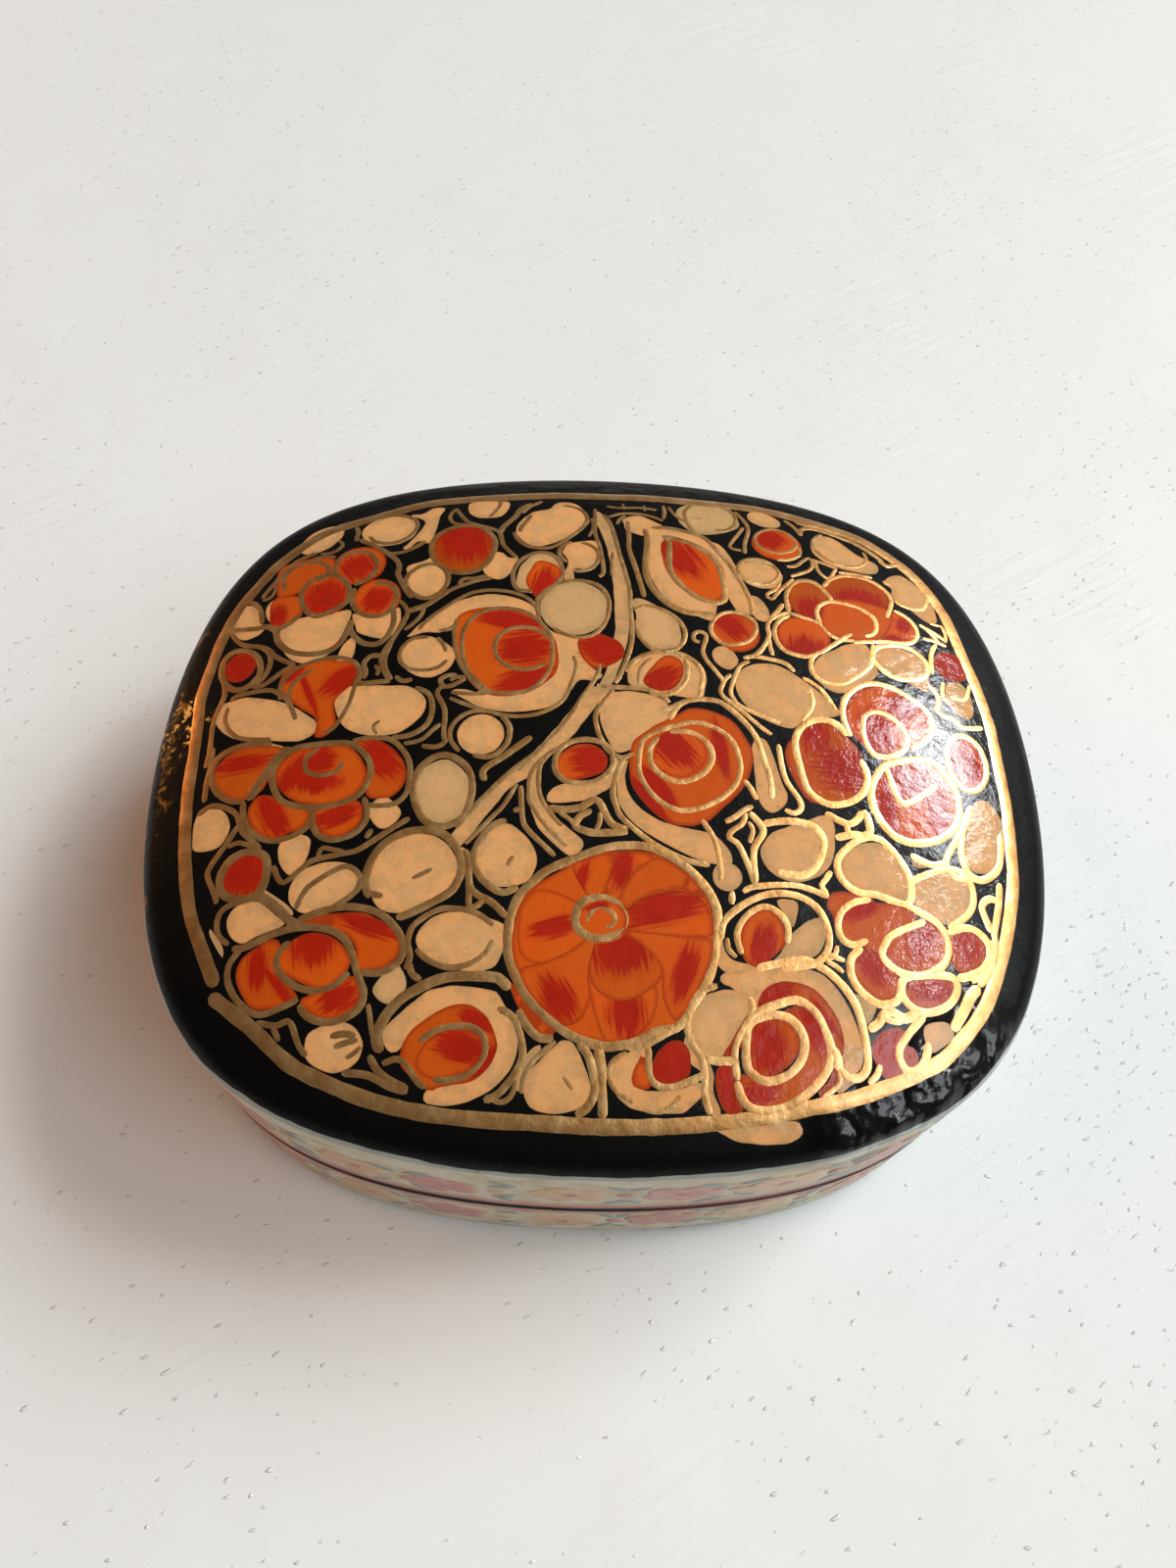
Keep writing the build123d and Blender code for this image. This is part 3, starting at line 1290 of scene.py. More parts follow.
CREAM_PETALS = tuple(Petal(*read) for read in shapes("""
-0.3 o-310,274,28,18,44; 0.1 o-235,282,31,26,5; -0.1 -177,320 -190,321 -201,311 -215,308 -197,294 -211,260
-218,252 -212,249 -201,262 -187,260 -181,304; 0 -146,332 -115,333 -107,332 -104,324 -112,304 -132,300
-146,306 -151,318; 0.3 -54,329 -39,332 -26,324 -15,300 -21,285 -33,272 -64,253 -83,257 -95,273 -94,288
-86,303 -76,313 -60,318; 0.2 -24,262 -11,264 -6,258 -8,229 -19,219 -31,219 -31,202 -42,200 -38,230 -44,244
-36,258; 0 -120,242 -109,242 -101,234 -91,233 -100,209 -111,201 -124,207 -129,219 -125,227; 0.1 -183,236
-174,232 -163,203 -172,183 -190,176 -202,181 -214,194 -209,210 -209,222 -193,230; -0.8 -92,200 -88,222
-76,238 -60,241 -49,232 -44,217 -46,203 -55,190 -68,180 -90,189; -0.2 -389,165 -384,180 -372,180 -362,168
-359,155 -353,144 -360,135 -374,132 -384,140 -389,150; 0.2 -353,182 -346,184 -343,170 -346,154 -351,156
-356,170; 0.2 -334,144 -320,153 -278,160 -262,159 -269,120 -280,102 -298,93 -312,96 -324,106 -333,124; 0.2
-260,156 -245,152 -220,156 -213,164 -209,150 -211,133 -223,121 -250,129 -256,140; 0.1 -260,123 -253,122
-253,100 -261,90 -269,93 -268,108; 0 -387,48 -373,54 -354,56 -316,46 -290,29 -281,21 -280,12 -286,4 -300,0
-345,4 -362,8 -376,17 -387,32; 0.1 -252,62 -220,62 -195,61 -180,52 -174,42 -176,28 -186,15 -200,5 -218,3
-234,5 -250,12 -258,22 -264,36 -265,48 -259,56; -1.3 o-30,163,36,37,0; 0.2 -200,122 -186,142 -168,160
-146,173 -120,180 -94,176 -74,165 -64,146 -50,129 -26,124 -23,102 -12,86 0,76 -10,69 -24,68 -42,42 -60,34
-84,30 -108,32 -126,38 -149,54 -138,57 -122,54 -134,80 -148,110 -154,133 -168,128 -184,128; 0.1 -200,116
-190,124 -176,123 -162,116 -149,104 -148,96 -156,80 -172,71 -188,74 -204,88 -206,102; 0.1 o-118,4,23,23,0;
0.1 21,302 30,308 42,310 64,296 66,292 54,290 48,278 42,275 25,284 23,294; 0.1 46,286 65,290 86,287
118,272 130,264 144,232 154,182 153,162 145,159 133,184 129,200 122,190 118,166 114,154 104,155 70,176
56,196 48,222 48,250; -1.9 82,322 90,334 102,340 130,339 146,332 152,314 151,300 136,289 116,283 100,285
90,294 84,304; 0 164,328 172,335 184,333 195,325 201,316 197,307 182,305 169,311 163,319; 0 147,236
158,244 172,245 185,236 194,226 190,212 180,204 166,204 153,210 148,222; -0.1 157,192 166,188 173,176
175,164 172,157 164,157 158,162 156,176; -0.7 30,176 44,177 74,154 80,134 78,119 66,112 52,113 40,120
33,132 34,156; -0.3 112,114 120,120 130,117 138,104 134,94 126,90 116,96 111,106; 0 135,84 146,96 164,101
184,97 212,76 236,52 236,43 204,36 188,24 168,28 152,38 139,52 133,68; 0.1 25,68 26,86 38,99 56,106 76,105
96,98 104,82 102,64 94,52 50,59 36,62; -0.2 -6,66 10,57 26,58 46,55 62,47 67,32 63,20 42,0 18,-14 8,-6
-2,20 -4,38; -0.1 249,301 237,294 231,282 232,268 244,254 260,247 280,244 298,245 306,254 303,264 284,274
264,295; 0 316,244 327,250 338,247 359,224 364,192 358,182 348,184 334,196 320,204 315,216 316,226 308,232
310,238; 0.1 256,136 276,137 284,106 282,97 254,75 238,71 226,76 216,88 216,102 222,114 236,124; 0.1
284,128 296,137 316,138 334,128 339,112 336,86 308,97 292,104 284,116; 0.1 360,102 374,105 383,96 386,80
382,62 370,60 358,72 356,88; 0.2 o-324,-5,17,4,-12; -0.1 -387,-72 -368,-68 -359,-73 -353,-82 -351,-91
-354,-102 -362,-111 -380,-112 -387,-104; 0 -300,-109 -301,-118 -297,-130 -289,-140 -284,-139 -274,-129
-270,-110 -274,-103 -284,-100 -294,-102; -0.1 -285,-154 -281,-143 -270,-134 -256,-129 -240,-129 -228,-134
-222,-146 -226,-158 -236,-169 -252,-176 -268,-178 -279,-173 -285,-164; 0.1 -341,-182 -336,-171 -324,-166
-312,-166 -293,-180 -285,-188 -310,-198 -324,-204 -336,-196; -0.4 -310,-153 -287,-168 -279,-176 -282,-179
-306,-160; -0.2 -356,-188 -341,-206 -341,-215 -354,-197; -0.1 -219,-76 -206,-63 -189,-77 -189,-86 -197,-94
-205,-97 -214,-90; -0.9 -176,-56 -173,-39 -163,-28 -150,-24 -138,-30 -128,-42 -124,-56 -127,-72 -133,-85
-144,-91 -157,-90 -169,-79; 0.2 -117,-124 -113,-108 -101,-95 -88,-91 -75,-99 -64,-112 -59,-127 -63,-141
-70,-150 -94,-154 -108,-143; 0.3 -212,-142 -207,-125 -195,-111 -177,-103 -159,-103 -143,-112 -133,-128
-131,-146 -137,-161 -150,-171 -168,-177 -187,-179 -201,-174 -209,-161; -0.6 -129,-115 -124,-119 -122,-127
-126,-129; 0.1 -52,-63 -45,-52 -30,-48 -14,-48 -2,-43 8,-33 13,-21 17,-24 16,-38 9,-50 -4,-60 -20,-67
-48,-69; 0.2 25,-20 22,-38 24,-54 34,-70 50,-82 66,-88 102,-96 114,-105 121,-117 117,-127 86,-121 44,-99
26,-84 16,-68 14,-50 17,-32; -0.5 o116,-138,14,14,0; 0 146,2 154,11 163,2 173,-38 178,-52 173,-64 162,-71
153,-66 148,-52 146,-14; 0 148,-112 153,-100 165,-89 196,-76 212,-70 221,-79 218,-112 209,-127 196,-136
178,-140 162,-135 152,-125; 0.1 222,-122 226,-110 238,-100 252,-95 268,-97 289,-122 291,-136 285,-149
250,-147 234,-141 224,-133; 0.1 291,-134 318,-120 334,-116 349,-120 353,-135 350,-151 340,-164 326,-170
311,-167 298,-159 290,-148; 0.2 350,-98 353,-80 365,-46 375,-35 386,-37 395,-53 396,-74 393,-92 386,-104
375,-112 362,-115 352,-110; 0.1 293,-103 314,-108 327,-104 324,-109 302,-117 294,-114 296,-109; 0
-165,-204 -160,-191 -148,-181 -130,-177 -112,-180 -86,-189 -84,-200 -87,-216 -95,-228 -110,-232 -126,-230
-144,-224 -158,-216; -0.7 -200,-245 -186,-228 -182,-223 -174,-232 -170,-244 -174,-253 -184,-260 -195,-256;
-0.1 -257,-296 -254,-284 -242,-278 -226,-275 -214,-279 -206,-290 -206,-302 -215,-313 -230,-317 -244,-313
-254,-306; 0.3 -189,-288 -183,-276 -156,-252 -140,-246 -124,-244 -94,-248 -85,-257 -71,-284 -71,-298
-75,-312 -85,-325 -100,-335 -120,-342 -140,-343 -150,-339 -146,-330 -120,-322 -108,-317 -99,-310 -94,-300
-94,-288 -98,-279 -116,-268 -126,-265 -154,-278 -166,-288 -174,-299 -182,-300; 0.1 -65,-328 -60,-316
-40,-295 -32,-289 -21,-293 -8,-320 -7,-333 -15,-343 -30,-348 -46,-348 -59,-343; -0.3 -71,-328 -70,-314
-62,-301 -52,-293 -51,-298 -66,-322 -67,-332; 0.1 8,-316 14,-306 26,-298 43,-293 46,-304 37,-314 35,-324
42,-329 72,-326 86,-320 92,-328 84,-338 70,-346 36,-345 22,-339 12,-328; 0.3 74,-289 80,-284 99,-310
100,-328 106,-344 98,-346 92,-316 80,-306; -0.3 81,-264 87,-252 100,-245 114,-242 128,-245 133,-256
130,-267 112,-294 104,-301 94,-301 84,-293 77,-279; 0.3 107,-231 122,-224 160,-221 182,-220 200,-225
215,-240 226,-260 232,-278 234,-294 229,-307 218,-309 213,-296 212,-280 194,-250 182,-242 164,-239
150,-240 142,-248 138,-260 118,-241 109,-237; 0 161,-159 172,-157 181,-161 175,-183 168,-173; -0.6
170,-194 179,-184 192,-175 203,-173 205,-188 200,-203 188,-211 154,-218 162,-208; -0.1 121,-189 124,-186
132,-209 128,-211 122,-202; 0 104,-196 109,-194 112,-208 120,-216 142,-221 120,-229 109,-225 103,-216; 0.1
100,-356 130,-353 164,-349 175,-350 178,-357 173,-363 158,-368 124,-367 110,-362; -0.8 224,-241 236,-242
249,-250 238,-267 234,-256; 0 293,-264 306,-259 317,-261 320,-272 300,-287 293,-280 291,-272; -0.6
212,-311 227,-313 216,-323 208,-324; -0.5 -9,313 -2,312 8,286 17,241 24,206 27,178 27,144 23,112 10,68
-3,49 -9,57 1,75 11,124 12,153 11,182 9,212 3,256 -6,290; -0.2 -3,49 -5,42 -29,4 -53,-22 -71,-43 -87,-54
-116,-95 -133,-117 -141,-107 -117,-74 -97,-47 -79,-30 -61,-8 -42,17 -27,39 -9,63; 0 -55,-20 -59,-41
-59,-61 -51,-77 -25,-100 -17,-108 -18,-116 -25,-122 -34,-120 -55,-100 -63,-87 -69,-61 -62,-24
"""))

ORANGE_PETALS = tuple(Petal(*read) for read in shapes("""
-0.6 o-317,218,29,22,-5 f-315,219,16,11,60; -0.1 o-262,227,28,28,0 f-263,223,17,16,-60; 0.1
o-292,185,26,29,0 f-291,179,24,21,90; 0.1 o-237,177,24,26,0 f-236,175,16,13,60; 0 -349,184 -330,187
-319,182 -316,164 -320,154 -342,143 -348,156 f-340,160,15,8,100; -0.2 -350,230 -330,240 -294,240 -288,210
-316,196 -342,186 -348,206; -0.5 o-371,96,16,18,0 f-370,96,19,17,-60; 0 -282,96 -316,88 -324,74 -321,60
-300,40 -282,27 -279,16 -280,5 -270,6 -262,17 -266,46 -248,68 -246,82 -254,92 -268,93 f-261,70,19,12,45
f-311,80,11,6,50 f-293,56,23,4,115; -0.9 o-151,248,33,37,0 f-149,262,29,25,-80; 0.5 -69,229 -56,226
-47,218 -46,206 -60,184 -66,173 -80,194 -80,206 -76,218 f-62,194,20,11,80; 0.2 -148,150 -128,160 -104,161
-80,155 -51,122 -46,86 -54,70 -70,56 -92,49 -114,51 -128,62 -140,80 -148,102 -152,126 f-94,144,32,11,-14
f-79,69,26,11,22 f-79,108,24,18,10; 0.2 -24,120 -8,128 6,124 16,118 21,106 14,94 -6,85 -16,92 -23,104
f1,110,22,18,-20; 0.6 74,273 94,269 113,256 126,236 130,214 128,194 120,182 108,180 92,188 78,202 68,222
64,244 64,264 f84,244,29,15,-62; 0.3 o192,275,27,25,0 f183,284,15,15,-40; 0.1 112,132 114,150 128,162
144,162 158,150 161,134 156,122 144,116 132,115 124,122 f132,149,18,12,-50; 0.2 46,64 62,60 74,68 80,82
79,96 69,103 58,99 42,74 f59,73,19,12,35; -0.5 o219,194,23,27,0 f220,179,16,12,100; -0.6 o274,209,37,26,0
f276,199,15,23,90; 0.7 o312,166,24,23,0 f321,172,9,7,60 f310,150,5,10,90; 0.5 o209,140,27,26,0
f209,124,15,19,90; -0.1 o257,169,29,25,0 f259,152,16,19,90 f234,176,10,5,60; 0.2 245,196 300,194 310,180
290,146 246,144 230,160; 0.2 o368,125,18,19,0 f368,126,19,17,90; -0.2 -377,-33 -372,-19 -360,-8 -344,-4
-306,-10 -320,-38 -326,-52 -340,-60 -354,-59 -368,-49 f-350,-22,25,9,8; -0.1 -243,-7 -224,-2 -208,-8
-193,-24 -188,-40 -191,-54 -203,-64 -220,-63 -224,-48 -224,-30 -230,-16 f-214,-21,23,13,-42; 0 -334,-70
-326,-59 -312,-61 -298,-69 -280,-73 -276,-84 -283,-95 -294,-98 -300,-103 -310,-103 -324,-95 -333,-82
f-310,-80,22,10,-60; 0.1 -270,-78 -238,-68 -228,-71 -225,-84 -231,-95 -244,-103 -256,-102 -265,-93
f-248,-82,19,9,22; 0.1 -313,-38 -307,-22 -292,-11 -252,-8 -237,-17 -227,-34 -228,-50 -239,-63 -260,-70
-282,-68 -302,-57 f-296,-36,20,10,58 f-273,-46,10,20,90 f-271,-24,13,13,0; -0.4 o-330,-138,21,22,0
f-330,-136,23,20,70; 0.3 -44,-32 -42,-21 -32,-11 -20,-6 -8,-7 1,-15 4,-24 -1,-35 -26,-44 -37,-44
f-12,-23,17,14,10; 0 27,-30 30,-50 44,-70 60,-84 76,-88 90,-86 105,-77 135,-44 144,-20 145,-6 138,11
126,28 106,38 88,39 74,32 36,6 28,-12 f41,-61,26,6,-50 f52,-49,22,8,-50 f114,-4,26,6,-80; 0.6 50,-26
51,-10 56,6 70,13 86,11 99,-2 100,-16 93,-28 80,-37 66,-36 f69,-6,23,14,-48; -0.3 181,2 181,-20 196,-52
210,-57 226,-57 242,-49 253,-34 257,-16 252,4 242,18 224,32 206,28 192,16 f239,-18,26,20,180
f210,15,17,12,90; 0.4 263,-36 271,-21 283,-10 314,-1 328,-3 340,-15 348,-32 348,-52 342,-67 330,-79
314,-86 296,-89 281,-84 270,-71 263,-54 f276,-56,26,8,95 f329,-52,24,9,80 f300,-26,18,22,90; 0.4 348,16
346,-2 351,-16 362,-24 374,-22 383,-10 387,8 384,24 372,34 358,30 f366,2,18,13,90; 0.3 244,42 250,62
264,78 284,84 304,79 322,68 333,52 330,34 318,20 302,10 284,4 264,8 250,22 f274,30,20,14,100
f306,62,16,12,20; -0.1 -325,-231 -319,-216 -306,-207 -292,-202 -287,-212 -289,-226 -282,-238 -270,-250
-270,-258 -302,-262 -316,-251 f-306,-226,18,8,95 f-284,-245,22,4,-50; 0.1 -272,-190 -256,-182 -220,-179
-204,-184 -188,-194 -179,-210 -186,-224 -202,-230 -218,-228 -217,-212 -226,-199 -240,-193 -256,-191
f-209,-191,25,7,-18; 0.2 -262,-256 -234,-244 -224,-238 -215,-238 -211,-250 -218,-265 -232,-272 -248,-270
-259,-263 f-230,-255,15,10,32; 0.3 -288,-220 -283,-209 -272,-201 -260,-197 -244,-200 -231,-209 -223,-222
-228,-235 -240,-244 -254,-244 -283,-230 f-258,-206,17,19,-80; -0.1 -170,-300 -166,-287 -150,-273 -132,-263
-115,-261 -100,-270 -92,-284 -89,-296 -95,-311 -108,-322 -138,-328 -146,-330 -169,-312 f-107,-274,14,6,-25
f-98,-308,15,6,60; 0.1 -158,-308 -151,-293 -140,-285 -126,-281 -111,-282 -102,-292 -102,-302 -111,-314
-126,-320 -142,-322 -154,-317 f-120,-296,19,11,-10; 0.4 31,-325 31,-314 38,-301 43,-313 45,-325; -0.3
47,-319 49,-304 56,-294 68,-288 77,-294 79,-310 72,-319 58,-322 f63,-306,20,16,60; -0.3 140,-256 147,-241
160,-234 176,-234 191,-239 204,-252 213,-268 216,-286 214,-295 205,-293 201,-276 192,-262 181,-252
168,-251 154,-255 f154,-245,17,8,25 f202,-264,16,3,-55; -0.2 163,-260 178,-254 190,-262 199,-276 202,-290
200,-304 189,-320 172,-333 154,-340 136,-341 125,-331 121,-315 150,-317 166,-310 178,-298 181,-284
178,-272 170,-264 f189,-273,20,8,-65 f136,-330,18,8,10; -0.1 129,-296 131,-282 139,-270 154,-266 168,-270
176,-284 171,-298 159,-309 148,-315 136,-311 f148,-290,21,14,-80; -0.4 104,-310 114,-307 119,-330 125,-341
114,-345 106,-335 103,-322 f112,-324,20,7,-75; 0.1 132,-263 112,-294 109,-299 120,-293 128,-281
f120,-284,14,3,60; -0.5 208,-302 213,-310 202,-324 192,-328 204,-314; 0.3 127,-196 131,-183 140,-172
150,-168 161,-175 166,-188 164,-201 142,-220 130,-214 f147,-202,19,9,78; -0.1 209,-160 216,-148 246,-149
254,-155 274,-156 292,-162 288,-171 272,-180 260,-192 255,-208 242,-202 241,-194 225,-194 216,-183
214,-170 f238,-163,18,7,25; -0.1 299,-166 311,-172 320,-182 322,-196 319,-207 294,-217 282,-216 267,-210
260,-199 264,-187 278,-176 291,-170 f296,-184,19,12,75; -0.1 325,-179 336,-174 349,-175 359,-185 356,-199
347,-209 334,-213 325,-206 323,-192 f340,-188,15,12,85; -0.1 229,-214 235,-204 246,-200 255,-205 270,-224
270,-235 259,-244 247,-242 230,-225 f248,-214,17,10,-55; -0.2 278,-232 287,-224 318,-221 325,-228 321,-239
310,-248 296,-251 282,-247 274,-239 f302,-232,19,8,5; -0.2 243,-286 250,-275 260,-270 272,-270 274,-284
268,-296 269,-306 260,-312 251,-307 245,-296 f257,-289,19,12,80; 0.3 270,-289 278,-284 284,-290 282,-298
275,-299; 0.2 -78,-242 -53,-270 -40,-280 -44,-286 -58,-278 -69,-264; 0.2 -77,-190 -72,-170 -61,-154
-24,-130 -5,-122 20,-117 44,-118 65,-127 85,-142 98,-164 102,-190 100,-214 78,-260 67,-274 48,-278 30,-288
10,-290 -24,-284 -52,-264 -74,-226 -78,-210; 0.5 -2,-178 -50,-156 -69,-168 -74,-192 -70,-216 -54,-224
-36,-219 -16,-206 2,-188 f-42,-191,18,8,15; 0.2 0,-190 -22,-208 -46,-222 -70,-229 -64,-246 -50,-263
-32,-276 -17,-272 -9,-254 -6,-228 2,-204 f-36,-255,19,11,-58; 0.4 2,-194 -8,-216 -10,-242 4,-287 22,-288
42,-276 50,-256 46,-236 14,-194 f24,-264,19,13,-85; 0 4,-190 -6,-210 -10,-232 2,-250 24,-254 44,-244
56,-228 48,-210 16,-186 f19,-212,17,23,-78; 0.3 12,-190 34,-202 54,-224 56,-250 66,-270 78,-258 90,-236
99,-212 98,-198 68,-196 36,-188 f75,-229,22,9,-108; 0.5 12,-186 28,-170 48,-158 72,-154 92,-162 100,-182
99,-194 72,-196 20,-192 f56,-171,36,12,14; 0.1 8,-182 18,-158 32,-136 50,-123 68,-130 86,-145 94,-160
74,-152 48,-156 28,-168; 0.6 4,-180 4,-156 8,-132 14,-119 34,-118 48,-122 30,-138 18,-158 10,-178
f19,-133,17,9,72; 0.4 0,-178 -26,-136 -16,-127 0,-121 12,-120 4,-156 4,-176 f-20,-150,19,6,70; 0.3
o1,-184,22,20,0 f-3,-171,9,3,15
"""))

